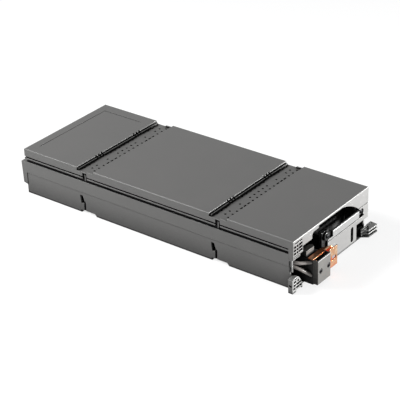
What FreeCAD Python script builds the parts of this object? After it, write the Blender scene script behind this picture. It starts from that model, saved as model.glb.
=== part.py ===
import FreeCAD, Part
import math
import os

# Battery cartridge of a rack power supply, in millimetres.
# +X is the connector end, +Y the far side in the usual view, +Z up.
# The origin is at the middle of the cover's plan, on the surface that the tray rests on.

# Sealed lead-acid block, lying on its side with its terminals along X
BLOCK_HEIGHT = 101.0
BLOCK_WIDTH = 90.0
BLOCK_THICK = 70.0
BLOCK_ROUND = 2.0
BLOCK_LID_STEP = 0.6
BLOCK_LID_HEIGHT = 14.0
BLOCK_GAP = 0.5
TAB_LENGTH = 6.0
TAB_WIDTH = 6.3
TAB_THICK = 0.8
TAB_OFFSET = 32.0
TAB_Z = 41.0

# Walls and clearances of the two mouldings
WALL = 3.0
LID_WALL = 2.5
DECK_WALL = 1.5
TRAY_FLOOR = 1.8
LOWER_INSET = 0.8
FIT = 0.3
SPIGOT_WALL = 1.5
SPIGOT_DEPTH = 10.0
LEDGE_THICK = 2.0
EDGE_ROUND = 1.2
CORNER_ROUND = 2.0

# Room round the blocks
CENTRE_GAP = 0.8
FAR_GAP = 1.4
LEAD_CHANNEL = 6.2
REAR_BAY_SLACK = 3.7
MIDDLE_BAY_REAR = 0.9
MIDDLE_BAY_FRONT = 17.8
FRONT_BAY_OVERLAP = 17.7
FRONT_ROOM = 31.0
FOAM_THICK = 4.7
FOAM_EASE = 0.2
FOAM_MARGIN = 12.0

# Cover
REAR_STRIP_WIDTH = 33.4
FRONT_STRIP_WIDTH = 32.4
DECK_DROP = 5.5
SKIRT_HEIGHT = 12.8
GROOVE_HEIGHT = 2.4
GROOVE_DEPTH = 3.2
REAR_GROOVE_DEPTH = 1.8
FLANGE_THICK = 2.2
FRONT_SEAM_Z = 52.5
RIDGE_OFFSET = 2.2
RIDGE_WIDTH = 1.4
RIDGE_HEIGHT = 3.0
RIDGE_MARGIN = 2.0
NOTCH_WIDTH = 3.4
NOTCH_PITCH = 6.6
NOTCH_CENTRE = 45.5
NOTCH_BITE = 1.8
LABEL_DEPTH = 1.2
LABEL_LINE = 1.1
LABEL_X_MARGIN = 15.5
LABEL_FRONT_MARGIN = 18.0
LABEL_Y_MARGIN = 19.5
SIDE_NOTCH_LENGTH = 8.4
SIDE_NOTCH_OFFSET = 11.2
SIDE_NOTCH_TOP_DROP = 7.0
SIDE_NOTCH_DEPTH = 3.2
CURB_HEIGHT = 2.0
CURB_WIDTH = 2.5

# Vent holes in the two decks
VENT_R = 1.8
VENT_PITCH = 10.7
VENT_ROWS = (5.5, 16.0, 25.0)
VENT_SHIFT = 2.5
VENT_GROUP_OFFSET = 76.6
VENT_SINGLE_OFFSET = 46.0
VENT_SLOT_LENGTH = 6.0
VENT_SLOT_PITCH = 9.0
VENT_SLOT_WIDTH = 2.6
RIDGE_GAP_SINK = 0.9
RIDGE_FOOT_LINE = 1.0
RIDGE_FOOT_SINK = 0.7

# Tray
TRAY_TOP_Z = 56.9
REBATE_Z = 37.0
TRAY_END_INSET = 0.5
FOOT_NOTCH_LENGTH = 31.0
FOOT_NOTCH_HEIGHT = 5.0
FOOT_NOTCH_SHIFT = 1.4
FOOT_NOTCH_SKIN = 1.0
FOOT_NOTCH_NEAR_REACH = 7.5
FOOT_NOTCH_CORNER = 3.0
REAR_LEDGE_REACH = 10.2
REAR_LEDGE_LOW = 16.0
REAR_LEDGE_TOP = 55.5
REAR_LEDGE_ROUND = 3.0
SLOT_SHIFT = 1.7
SLOT_TOP_Z = 31.0
SLOT_BOTTOM_Z = 17.0
SLIT_WIDTH = 4.0
LATCH_WIDTH = 2.0
LATCH_THICK = 1.2
LATCH_SETBACK = 1.6
LATCH_TOP_DROP = 10.5

# Front end
BULKHEAD_GAP = 0.5
BULKHEAD = 3.0
BULKHEAD_TOP_Z = 14.0
POST_SETBACK = 6.0
POST_TOP_Z = 53.5
HOOK_PLATE_Z = 12.0
GUSSET_FOOT = 9.0
RECESS_INSET = 87.5
CORNER_BLOCK_WIDTH = 24.0
CORNER_BLOCK_DEPTH = 8.0
CORNER_BLOCK_LOW_Z = 49.0
CORNER_BLOCK_TOP_DROP = 1.5
CORNER_SHELF = 7.0
RECESS_TOP_Z = 61.8
OPENING_TOP_DROP = 3.5
OPENING_NEAR_INSET = 63.5
OPENING_FLAT_INSET = 70.0
OPENING_ARC_INSET = 37.4
OPENING_ARC_Z = 61.6
OPENING_FAR_INSET = 11.0
SCALLOP_INSET = 47.0
SEAM_LINE = 1.2
SEAM_DEPTH = 1.8
SCALLOP_Z = 71.8
SCALLOP_R = 5.0
PANEL_TOP_Z = 36.2
PANEL_SLOT_INSET = 43.8
PANEL_SLOT_WIDTH = 7.0
PANEL_SLOT_LOW_Z = 5.4
PANEL_SLOT_HIGH_Z = 30.5
CORNER_SLIT_WIDTH = 3.0
CORNER_POST = 2.0
CORNER_SLIT_LOW_Z = 28.5

# Grip bar and its screws
BAR_NEAR_INSET = 101.0
BAR_FAR_INSET = 25.0
BAR_LOW_Z = 37.4
BAR_TOP_Z = 49.0
BAR_THICK = 4.4
BAR_ROUND = 1.4
BAR_LIP_HEIGHT = 3.0
BOSS_FAR_INSET = 18.0
BOSS_Z = 45.0
BOSS_R = 6.6
BOSS_LENGTH = 2.6
BOSS_NECK_R = 4.6
BOSS_NECK_LENGTH = 4.2
BOSS_WEB = 4.0
BOSS_ACCESS = 1.8
BRACKET_INSET = 86.0
BRACKET_Z = 47.0
BRACKET_R = 6.8
BRACKET_LENGTH = 6.0
BRACKET_PLATE = 2.2
BRACKET_LOW_Z = 14.0
BRACKET_TOP_Z = 54.3

# Screws: thread radius, head radius and head height
SCREW_R = 1.5
SCREW_HEAD_R = 3.2
SCREW_HEAD_HEIGHT = 2.0
SCREW_RECESS_R = 1.3
SCREW_RECESS_DEPTH = 1.1
SCREW_CLEARANCE = 0.1

# Corner hooks
HOOK_POCKET_INSET = 32.0
HOOK_START_INSET = 18.5
HOOK_ROOT_HEIGHT = 11.0
HOOK_ROOT_LENGTH = 10.0
HOOK_PLATE = 2.0
HOOK_PLATE_RISE = 0.5
HOOK_REACH = 9.3
HOOK_BEND_INSET = 12.0
HOOK_REACH_OUT = 11.5
HOOK_BACK_X = 3.0
HOOK_FIN = 1.9
HOOK_FIN_PITCH = 5.2
HOOK_FINS = 3
HOOK_BASE_Z = 1.0
HOOK_WEB = 2.0
HOOK_POCKET_WALL = 1.8
HOOK_RIM = 1.5

# Near corner hook, a cored block
CLAW_REACH = 5.5
CLAW_OUT = 10.0
CLAW_LENGTH = 24.5
CLAW_HEIGHT = 24.6
CLAW_BACK = 2.0
CLAW_CORE = 4.2
CLAW_ROW = 5.2
CLAW_RIB = 1.7
CLAW_EYE_R = 2.0

# Connector
CONNECTOR_INSET = 28.0
CONNECTOR_WIDTH = 28.0
CONNECTOR_TOP_Z = 41.5
CONNECTOR_DEPTH = 21.5
CAP_DEPTH = 8.5
CAP_WALL = 2.0
CAP_NEAR_MARGIN = 2.0
CAP_FAR_MARGIN = 2.4
CAP_LOW_Z = 4.0
CAP_TOP_Z = 42.5
CAP_SCREW_Z = 23.8
CAP_SCREW_SPAN = 20.0
CAP_SCREW_INSET = 7.5
CAP_HOLE_R = 4.0
CAP_BOSS_R = 4.6
CAP_SCREW_SINK = 1.3
CAP_SCREW_HEAD_R = 3.6
CAP_SCREW_LENGTH = 14.0
COPPER = 1.5
FLANGE_BACK = 9.0
FLANGE_TAPER = 14.0
BLADE_REACH = 20.1
REAR_LEG_REACH = 17.5
BEND_R = 3.0
LEG_GAP = 5.5
BLADE_RISE = 1.5
BLADE_LOW_Z = 11.0
BLADE_HOLE_REACH = 9.4
BLADE_HOLE_Z = 28.0
BLADE_HOLE_LENGTH = 14.0
BLADE_HOLE_WIDTH = 7.0
BLADE_SETBACK = 2.0
EAR_LENGTH = 12.3
EAR_HEIGHT = 12.0
EAR_INSET = 7.0
LOWER_CONTACT_LOW_Z = 5.5
LOWER_CONTACT_HEIGHT = 12.0
FUSE_LENGTH = 22.0
FUSE_WIDTH = 9.0
FUSE_HEIGHT = 9.5
FUSE_ROUND = 4.4

# Leads
LEAD_D = 5.0
LEAD_PITCH = 6.0
LUG_LENGTH = 8.2
LUG_HALF_WIDTH = 3.2
LUG_BARREL = 4.6
LUG_FOOT = 7.2
LUG_SCREW_SETBACK = 8.7
LUG_SCREW_LENGTH = 3.2
LUG_SCREW_Z = (35.5, 11.5)
LEAD_HOLE_EASE = 0.4
BODY_WALL = 1.5
BODY_SETBACK = 0.4
UPPER_ROOM_Z = (28.5, 40.0)
LOWER_ROOM_Z = (4.0, 19.5)
LEAD_TURN = 6.0
LUG_THICK = 1.2
SLEEVE_WIDTH = 5.6
SLEEVE_HEIGHT = 9.0
SLEEVE_LENGTH = 13.0
SLEEVE_EASE = 0.1
LINK_THICK = 1.5
LINK_HEIGHT = 6.0


# Places worked out from the sizes above
OVERALL_HEIGHT = TRAY_FLOOR + BLOCK_THICK + FOAM_THICK + LID_WALL
SIDE_STACK = LEAD_CHANNEL + 2 * BLOCK_WIDTH + CENTRE_GAP + FAR_GAP
COVER_WIDTH = SIDE_STACK + 2 * (WALL + LOWER_INSET)
HALF_WIDTH = COVER_WIDTH / 2
RECESS_FAR_Y = -HALF_WIDTH + RECESS_INSET
SCALLOP_NEAR_Y = -HALF_WIDTH + SCALLOP_INSET
OPENING_NEAR_Y = -HALF_WIDTH + OPENING_NEAR_INSET
OPENING_FLAT_END_Y = HALF_WIDTH - OPENING_FLAT_INSET
OPENING_ARC_MID = (HALF_WIDTH - OPENING_ARC_INSET, OPENING_ARC_Z)
OPENING_FAR_Y = HALF_WIDTH - OPENING_FAR_INSET
PANEL_SLOT_Y = HALF_WIDTH - PANEL_SLOT_INSET
BAR_NEAR_Y = -HALF_WIDTH + BAR_NEAR_INSET
BAR_FAR_Y = HALF_WIDTH - BAR_FAR_INSET
BOSS_FAR_Y = HALF_WIDTH - BOSS_FAR_INSET
BRACKET_Y = -HALF_WIDTH + BRACKET_INSET
HOOK_POCKET_Y = HALF_WIDTH - HOOK_POCKET_INSET
HOOK_START_Y = HALF_WIDTH - HOOK_START_INSET
HOOK_BEND_Y = HALF_WIDTH - HOOK_BEND_INSET
HOOK_OUTER_Y = HALF_WIDTH + HOOK_REACH_OUT
CLAW_NEAR_Y = -HALF_WIDTH - CLAW_OUT
CLAW_FAR_Y = CLAW_NEAR_Y + CLAW_LENGTH
CONNECTOR_NEAR_Y = -HALF_WIDTH + CONNECTOR_INSET
REAR_LID = WALL + BLOCK_GAP + BLOCK_HEIGHT + REAR_BAY_SLACK + LID_WALL
MIDDLE_LID = MIDDLE_BAY_REAR + 2 * BLOCK_HEIGHT + BLOCK_GAP + MIDDLE_BAY_FRONT
FRONT_LID = BLOCK_HEIGHT - FRONT_BAY_OVERLAP + FRONT_ROOM
COVER_LENGTH = REAR_LID + REAR_STRIP_WIDTH + MIDDLE_LID + FRONT_STRIP_WIDTH + FRONT_LID
X_FRONT = COVER_LENGTH / 2
X_REAR = -X_FRONT
STRIP_1 = (X_REAR + REAR_LID, X_REAR + REAR_LID + REAR_STRIP_WIDTH)
STRIP_2 = (X_FRONT - FRONT_LID - FRONT_STRIP_WIDTH, X_FRONT - FRONT_LID)
STRIPS = (STRIP_1, STRIP_2)
LIDS = ((X_REAR, STRIP_1[0]), (STRIP_1[1], STRIP_2[0]), (STRIP_2[1], X_FRONT))
DECK_Z = OVERALL_HEIGHT - DECK_DROP
LID_INNER_Z = OVERALL_HEIGHT - LID_WALL
GROOVE_TOP_Z = OVERALL_HEIGHT - SKIRT_HEIGHT
GROOVE_LOW_Z = GROOVE_TOP_Z - GROOVE_HEIGHT
FLANGE_LOW_Z = GROOVE_LOW_Z - FLANGE_THICK
SPIGOT_LOW_Z = FLANGE_LOW_Z - SPIGOT_DEPTH
SPIGOT_OUT_Y = HALF_WIDTH - WALL - FIT
SPIGOT_IN_Y = SPIGOT_OUT_Y - SPIGOT_WALL
UPPER_IN_Y = HALF_WIDTH - LID_WALL
LOWER_OUT_Y = HALF_WIDTH - LOWER_INSET
LOWER_IN_Y = LOWER_OUT_Y - WALL
BLOCK_LOW_Z = TRAY_FLOOR
BLOCK_TOP_Z = BLOCK_LOW_Z + BLOCK_THICK
NEAR_BLOCK_Y = -LOWER_IN_Y + LEAD_CHANNEL + BLOCK_WIDTH / 2
FAR_BLOCK_Y = LOWER_IN_Y - FAR_GAP - BLOCK_WIDTH / 2
X_BLOCKS_REAR = X_REAR + WALL + BLOCK_GAP
X_BLOCKS_MIDDLE = STRIP_1[1] + MIDDLE_BAY_REAR
X_BLOCKS_MIDDLE_2 = X_BLOCKS_MIDDLE + BLOCK_HEIGHT + BLOCK_GAP
X_BLOCKS_FRONT = STRIP_2[1] - FRONT_BAY_OVERLAP
X_BLOCKS_END = X_BLOCKS_FRONT + BLOCK_HEIGHT
X_BULKHEAD = X_BLOCKS_END + BULKHEAD_GAP
X_BULKHEAD_FACE = X_BULKHEAD + BULKHEAD
X_POST_FACE = X_FRONT - POST_SETBACK
X_PANEL_BACK = X_FRONT - WALL
X_TRAY_REAR = X_REAR + TRAY_END_INSET
LEAD_Y = -LOWER_IN_Y + LEAD_CHANNEL / 2
LEAD_LOW_Z = TAB_Z - LEAD_PITCH
OPENING_TOP_Z = OVERALL_HEIGHT - OPENING_TOP_DROP
CORNER_BLOCK_FAR_Y = -HALF_WIDTH + CORNER_BLOCK_WIDTH
X_CORNER_BLOCK = X_FRONT - CORNER_BLOCK_DEPTH
X_CONNECTOR_FACE = X_POST_FACE + CONNECTOR_DEPTH
X_CAP_FACE = X_CONNECTOR_FACE + CAP_DEPTH
CONNECTOR_FAR_Y = CONNECTOR_NEAR_Y + CONNECTOR_WIDTH
CAP_NEAR_Y = CONNECTOR_NEAR_Y - CAP_NEAR_MARGIN
CAP_FAR_Y = CONNECTOR_FAR_Y + CAP_FAR_MARGIN
BODY_NEAR_Y = CAP_NEAR_Y + BODY_SETBACK
EAR_Y = CONNECTOR_NEAR_Y + EAR_INSET
X_EAR = X_CONNECTOR_FACE - EAR_LENGTH
X_BLADE = X_CAP_FACE - BLADE_SETBACK - COPPER
X_REAR_LEG = X_BLADE - LEG_GAP - COPPER
BLADE_NEAR_Y = CAP_FAR_Y + FIT
FLANGE_END_Y = CAP_FAR_Y + BLADE_REACH
REAR_LEG_END_Y = CAP_FAR_Y + REAR_LEG_REACH
BLADE_HOLE_Y = CAP_FAR_Y + BLADE_HOLE_REACH
FLANGE_TOP_Z = CONNECTOR_TOP_Z + COPPER


def box(x0, x1, y0, y1, z0, z1):
    """Box between two corners."""
    corner = FreeCAD.Vector(min(x0, x1), min(y0, y1), min(z0, z1))
    return Part.makeBox(abs(x1 - x0), abs(y1 - y0), abs(z1 - z0), corner)


def cylinder(radius, length, base, axis):
    """Cylinder from a base point along an axis."""
    return Part.makeCylinder(radius, length, FreeCAD.Vector(*base), FreeCAD.Vector(*axis))


def prism_x(outline, x0, x1):
    """Closed outline of (y, z) points carried from x0 to x1."""
    points = [FreeCAD.Vector(x0, y, z) for y, z in outline]
    face = Part.Face(Part.makePolygon(points + points[:1]))
    return face.extrude(FreeCAD.Vector(x1 - x0, 0, 0))


def prism_y(outline, y0, y1):
    """Closed outline of (x, z) points carried from y0 to y1."""
    points = [FreeCAD.Vector(x, y0, z) for x, z in outline]
    face = Part.Face(Part.makePolygon(points + points[:1]))
    return face.extrude(FreeCAD.Vector(0, y1 - y0, 0))


def prism_z(outline, z0, z1):
    """Closed outline of (x, y) points carried from z0 to z1."""
    points = [FreeCAD.Vector(x, y, z0) for x, y in outline]
    face = Part.Face(Part.makePolygon(points + points[:1]))
    return face.extrude(FreeCAD.Vector(0, 0, z1 - z0))


def joined(solids):
    """One solid from touching or overlapping ones, with its seams removed."""
    shape = solids[0].multiFuse(solids[1:])
    return shape.removeSplitter()


def edges_where(shape, test):
    """Edges whose two ends both pass a test on their points."""
    found = []
    for edge in shape.Edges:
        if len(edge.Vertexes) == 2 and all(test(v.Point) for v in edge.Vertexes):
            found.append(edge)
    return found


def near(a, b):
    return abs(a - b) < 1e-4


def rounded_path(points, shares):
    """Straight runs with a tangent arc at each inner point; a share of the shorter run sets each arc."""
    vectors = [FreeCAD.Vector(*p) for p in points]
    edges = []
    start = vectors[0]
    for i in range(1, len(vectors) - 1):
        back = (vectors[i - 1] - vectors[i]).normalize()
        ahead = (vectors[i + 1] - vectors[i]).normalize()
        run = min((vectors[i] - vectors[i - 1]).Length, (vectors[i + 1] - vectors[i]).Length)
        trim = shares[i - 1] * run
        half = back.getAngle(ahead) / 2
        radius = trim * math.tan(half)
        arc_start = vectors[i] + back * trim
        arc_end = vectors[i] + ahead * trim
        middle = (back + ahead).normalize() * (radius / math.sin(half) - radius)
        edges.append(Part.LineSegment(start, arc_start).toShape())
        edges.append(Part.Arc(arc_start, vectors[i] + middle, arc_end).toShape())
        print("arc radius", round(radius, 1))
        start = arc_end
    edges.append(Part.LineSegment(start, vectors[-1]).toShape())
    return Part.Wire(edges)


def lead_tube(name, points, shares=None):
    """Round lead along a path, with its volume set against section times length."""
    path = rounded_path(points, shares or [0.45] * (len(points) - 2))
    start = FreeCAD.Vector(*points[0])
    heading = (FreeCAD.Vector(*points[1]) - start).normalize()
    ring = Part.Wire(Part.Circle(start, heading, LEAD_D / 2).toShape())
    tube = path.makePipeShell([ring], True, True)
    expected = math.pi * LEAD_D ** 2 / 4 * path.Length
    print(name, "length", round(path.Length, 1), "volume ratio", round(tube.Volume / expected, 4))
    return tube


def screw(point, axis, length, head_r=SCREW_HEAD_R):
    """Pan head screw: head base at the point, shank against the axis, round drive recess in the head."""
    outward = FreeCAD.Vector(*axis)
    base = FreeCAD.Vector(*point)
    head = Part.makeCylinder(head_r, SCREW_HEAD_HEIGHT, base, outward)
    rim = [e for e in head.Edges if near((e.CenterOfMass - base).dot(outward), SCREW_HEAD_HEIGHT)]
    head = head.makeFillet(SCREW_HEAD_HEIGHT * 0.4, rim)
    shank = Part.makeCylinder(SCREW_R, length, base - outward * length, outward)
    top = base + outward * (SCREW_HEAD_HEIGHT - SCREW_RECESS_DEPTH)
    recess = Part.makeCylinder(SCREW_RECESS_R, SCREW_HEAD_HEIGHT, top, outward)
    return head.fuse(shank).cut(recess)


def screw_hole(point, axis, length):
    """Clearance hole for the shank of a screw placed at the same point."""
    outward = FreeCAD.Vector(*axis)
    base = FreeCAD.Vector(*point) - outward * (length + SCREW_CLEARANCE)
    return Part.makeCylinder(SCREW_R + SCREW_CLEARANCE, length + SCREW_CLEARANCE + 1, base, outward)


def opening_prism(x0, x1, low_z):
    """Finger opening: flat top, near step with a scallop, long arc down the far side."""
    top_far = FreeCAD.Vector(x0, OPENING_FLAT_END_Y, OPENING_TOP_Z)
    arc_mid = FreeCAD.Vector(x0, *OPENING_ARC_MID)
    arc_end = FreeCAD.Vector(x0, OPENING_FAR_Y, PANEL_TOP_Z)
    rest = [(OPENING_FAR_Y, PANEL_TOP_Z), (OPENING_FAR_Y, low_z), (SCALLOP_NEAR_Y, low_z)]
    rest += [(SCALLOP_NEAR_Y, SCALLOP_Z - SCALLOP_R)]
    rest += [(SCALLOP_NEAR_Y + SCALLOP_R * 0.35, SCALLOP_Z - SCALLOP_R * 0.3)]
    rest += [(SCALLOP_NEAR_Y + SCALLOP_R, SCALLOP_Z), (OPENING_NEAR_Y, SCALLOP_Z)]
    rest += [(OPENING_NEAR_Y, OPENING_TOP_Z), (OPENING_FLAT_END_Y, OPENING_TOP_Z)]
    points = [FreeCAD.Vector(x0, y, z) for y, z in rest]
    edges = [Part.Arc(top_far, arc_mid, arc_end).toShape()]
    edges += [Part.LineSegment(a, b).toShape() for a, b in zip(points, points[1:])
              if (a - b).Length > 1e-6]
    return Part.Face(Part.Wire(edges)).extrude(FreeCAD.Vector(x1 - x0, 0, 0))


def lid_panel(x0, x1):
    """Raised panel of the cover with its top edges rounded."""
    panel = box(x0, x1, -HALF_WIDTH, HALF_WIDTH, GROOVE_TOP_Z, OVERALL_HEIGHT)
    return panel.makeFillet(EDGE_ROUND, edges_where(panel, lambda p: near(p.z, OVERALL_HEIGHT)))


def side_notch(strip):
    """Span along X of the latch notch beside a strip."""
    start = strip[0] + SIDE_NOTCH_OFFSET
    return start, start + SIDE_NOTCH_LENGTH


def vent_cutters(strip):
    """Round holes in three staggered rows, with short slots in the last row."""
    low = DECK_Z - DECK_WALL - 1
    depth = DECK_WALL + 2
    holes = []
    for row, offset in enumerate(VENT_ROWS):
        x = strip[0] + offset
        staggered = row == 1
        groups = [(0.0, 5 if staggered else 6)]
        groups += [(side * VENT_GROUP_OFFSET, 2 if staggered else 3) for side in (-1, 1)]
        if staggered:
            groups += [(side * VENT_SINGLE_OFFSET, 1) for side in (-1, 1)]
        for centre, count in groups:
            for k in range(count):
                y = VENT_SHIFT + centre + (k - (count - 1) / 2) * VENT_PITCH
                holes.append(cylinder(VENT_R, depth, (x, y, low), (0, 0, 1)))
    x = strip[0] + VENT_ROWS[2]
    for side in (-1, 1):
        for k in (-1, 0, 1):
            y = VENT_SHIFT + side * VENT_SINGLE_OFFSET + k * VENT_SLOT_PITCH
            half = VENT_SLOT_LENGTH / 2
            x0 = x - VENT_SLOT_WIDTH / 2
            holes.append(box(x0, x0 + VENT_SLOT_WIDTH, y - half, y + half, low, low + depth))
    return holes


def stepped_edge(x_edge):
    """Ridge that runs along the front edge of a panel, one step lower than the panel."""
    x0 = x_edge + RIDGE_OFFSET
    y = HALF_WIDTH - RIDGE_MARGIN
    return box(x0, x0 + RIDGE_WIDTH, -y, y, DECK_Z - DECK_WALL / 2, DECK_Z + RIDGE_HEIGHT)


def edge_notches(x_edge):
    """Two clusters of three short cross notches in a panel's front edge and its ridge."""
    x0 = x_edge - NOTCH_BITE
    x1 = x_edge + RIDGE_OFFSET + RIDGE_WIDTH + 0.5
    cuts = []
    for side in (-1, 1):
        for k in (-1, 0, 1):
            y = side * NOTCH_CENTRE + k * NOTCH_PITCH - NOTCH_WIDTH / 2
            cuts.append(box(x0, x1, y, y + NOTCH_WIDTH, DECK_Z - RIDGE_GAP_SINK, OVERALL_HEIGHT + 1))
    return cuts


def corner_block():
    """Ribbed block under the near front corner of the cover."""
    top = OVERALL_HEIGHT - CORNER_BLOCK_TOP_DROP
    block = box(X_CORNER_BLOCK, X_FRONT, -HALF_WIDTH, CORNER_BLOCK_FAR_Y, CORNER_BLOCK_LOW_Z, top)
    shelf = box(X_CORNER_BLOCK, X_FRONT + 1, CORNER_BLOCK_FAR_Y - CORNER_SHELF, CORNER_BLOCK_FAR_Y + 1,
                CORNER_BLOCK_LOW_Z - 1, CORNER_BLOCK_LOW_Z + 5.2)
    return block.cut(shelf)


def corner_pockets():
    """Pockets that core the ribbed corner from its front face: three columns, then two long rows."""
    rows = 3
    pitch = 5.1
    rib = 1.3
    first = OVERALL_HEIGHT - 9.0
    depth = CORNER_BLOCK_DEPTH - 2.0
    widths = (6.0, 4.2, 8.6)
    cuts = []
    for row in range(rows):
        z1 = first - row * pitch
        y = -HALF_WIDTH + rib
        for width in widths:
            cuts.append(box(X_FRONT - depth, X_FRONT + 1, y, y + width, z1 - pitch + rib, z1))
            y += width + rib
    long_end = CORNER_BLOCK_FAR_Y - CORNER_SHELF - rib
    for row in range(2):
        z1 = CORNER_BLOCK_LOW_Z + 5.2 - row * 2.6 - 0.3
        cuts.append(box(X_FRONT - depth, X_FRONT + 1, -HALF_WIDTH + rib, long_end, z1 - 1.4, z1))
    slot_z = OVERALL_HEIGHT - 4.0
    slot_y = (-HALF_WIDTH + 4, CORNER_BLOCK_FAR_Y - 2)
    cuts.append(box(X_FRONT - 1.2, X_FRONT + 1, slot_y[0], slot_y[1], slot_z - 2.4, slot_z))
    return cuts


def make_cover():
    """Upper moulding with three raised panels, two perforated decks and the front wall."""
    deck = box(X_REAR, X_FRONT, -HALF_WIDTH, HALF_WIDTH, FLANGE_LOW_Z, DECK_Z)
    panels = [lid_panel(x0, x1) for x0, x1 in LIDS]
    spigot = box(X_TRAY_REAR + WALL + FIT, X_CORNER_BLOCK, -SPIGOT_OUT_Y, SPIGOT_OUT_Y,
                 SPIGOT_LOW_Z, FLANGE_LOW_Z + 1)
    front_wall = box(X_PANEL_BACK, X_FRONT, -HALF_WIDTH, HALF_WIDTH, FRONT_SEAM_Z + FIT, DECK_Z)
    ridges = [stepped_edge(strip[0]) for strip in STRIPS]
    curbs = []
    for strip in STRIPS:
        x0 = side_notch(strip)[1]
        for side in (-1, 1):
            y0 = side * (HALF_WIDTH - CURB_WIDTH)
            curbs.append(box(x0, strip[1] + 1, y0, side * HALF_WIDTH, DECK_Z - 1, DECK_Z + CURB_HEIGHT))
    cover = joined([deck] + panels + [spigot, front_wall] + ridges + curbs)

    cuts = []
    for side in (-1, 1):
        y_in = side * (HALF_WIDTH - GROOVE_DEPTH)
        y_out = side * (HALF_WIDTH + 1)
        cuts.append(box(X_REAR - 1, X_CORNER_BLOCK, y_in, y_out, GROOVE_LOW_Z, GROOVE_TOP_Z))
    y_out = HALF_WIDTH + 1
    cuts.append(box(X_REAR - 1, X_REAR + REAR_GROOVE_DEPTH, -y_out, y_out, GROOVE_LOW_Z, GROOVE_TOP_Z))
    inner_front = X_PANEL_BACK
    inner_rear = X_BLOCKS_REAR - SLEEVE_EASE
    shelf_z = GROOVE_TOP_Z + LID_WALL
    cuts.append(box(inner_rear, inner_front, -SPIGOT_IN_Y, SPIGOT_IN_Y, SPIGOT_LOW_Z - 1, shelf_z))
    cuts.append(box(X_REAR + LID_WALL, inner_front, -UPPER_IN_Y, UPPER_IN_Y, shelf_z, DECK_Z - DECK_WALL))
    for x0, x1 in LIDS:
        end = min(x1 - LID_WALL, X_PANEL_BACK)
        low = DECK_Z - DECK_WALL - 1
        cuts.append(box(x0 + LID_WALL, end, -UPPER_IN_Y, UPPER_IN_Y, low, LID_INNER_Z))
    for strip in STRIPS:
        cuts += vent_cutters(strip)
        cuts += edge_notches(strip[0])
        ridge_y = HALF_WIDTH - RIDGE_MARGIN
        cuts.append(box(strip[0], strip[0] + RIDGE_OFFSET, -ridge_y, ridge_y, DECK_Z - RIDGE_GAP_SINK,
                        DECK_Z + 1))
        foot_x = strip[0] + RIDGE_OFFSET + RIDGE_WIDTH
        cuts.append(box(foot_x, foot_x + RIDGE_FOOT_LINE, -ridge_y, ridge_y, DECK_Z - RIDGE_FOOT_SINK,
                        DECK_Z + 1))
        x0, x1 = side_notch(strip)
        for side in (-1, 1):
            y_in = side * (HALF_WIDTH - SIDE_NOTCH_DEPTH)
            top = OVERALL_HEIGHT - SIDE_NOTCH_TOP_DROP
            cuts.append(box(x0, x1, y_in, side * (HALF_WIDTH + 1), FLANGE_LOW_Z - 1, top))
    label_far = HALF_WIDTH - LABEL_Y_MARGIN
    label_x = X_REAR + LABEL_X_MARGIN
    label_low = OVERALL_HEIGHT - LABEL_DEPTH
    cuts.append(box(label_x, label_x + LABEL_LINE, -label_far, label_far, label_low, OVERALL_HEIGHT + 1))
    cuts.append(box(label_x, STRIP_1[0] - LABEL_FRONT_MARGIN, label_far - LABEL_LINE, label_far,
                    label_low, OVERALL_HEIGHT + 1))
    cuts.append(box(X_FRONT - SEAM_DEPTH, X_FRONT + 1, OPENING_FAR_Y - 20, HALF_WIDTH + 1,
                    FRONT_SEAM_Z, FRONT_SEAM_Z + SEAM_LINE))
    cuts.append(opening_prism(X_PANEL_BACK - 1, X_FRONT + 1, PANEL_TOP_Z - 5))
    cuts.append(box(X_PANEL_BACK - 1, X_FRONT + 1, CORNER_BLOCK_FAR_Y, SCALLOP_NEAR_Y + 1,
                    FRONT_SEAM_Z - 2, RECESS_TOP_Z))
    cover = cover.cut(cuts)
    cover = cover.fuse(corner_block()).removeSplitter()
    return cover.cut(corner_pockets())


def foot_notch(strip):
    """Span along X of the notch low in each tray side, under a strip."""
    centre = (strip[0] + strip[1]) / 2 + FOOT_NOTCH_SHIFT
    return centre - FOOT_NOTCH_LENGTH / 2, centre + FOOT_NOTCH_LENGTH / 2


def foot_cut(strip, y0, y1, grow=0.0):
    """Foot notch from y0 to y1, its front corner cut off, grown by a wall if asked."""
    x0, x1 = foot_notch(strip)
    x0 -= grow
    x1 += grow
    top = FOOT_NOTCH_HEIGHT + grow
    low = 0 if grow else -1
    outline = [(x0, low), (x0, top), (x1 - FOOT_NOTCH_CORNER, top), (x1, top - FOOT_NOTCH_CORNER), (x1, low)]
    return prism_y(outline, y0, y1)


def side_slot(strip, side):
    """Tapered slot in a tray side wall, with a slit down to the foot notch."""
    x0 = foot_notch(strip)[0] + SLOT_SHIFT
    outline = [(x0 - 2.0, SLOT_TOP_Z), (x0 + 3.6, SLOT_TOP_Z), (x0 + 6.6, SLOT_TOP_Z - 9)]
    outline += [(x0 + 7.2, SLOT_BOTTOM_Z), (x0 - 0.2, SLOT_BOTTOM_Z), (x0 - 1.0, SLOT_BOTTOM_Z + 4)]
    y0 = side * (LOWER_IN_Y - 1)
    y1 = side * (HALF_WIDTH + 1)
    slit = box(x0 + 5.0, x0 + 5.0 + SLIT_WIDTH, y0, y1, FOOT_NOTCH_HEIGHT - 1, SLOT_BOTTOM_Z + 4)
    return prism_y(outline, y0, y1).fuse(slit)


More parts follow.
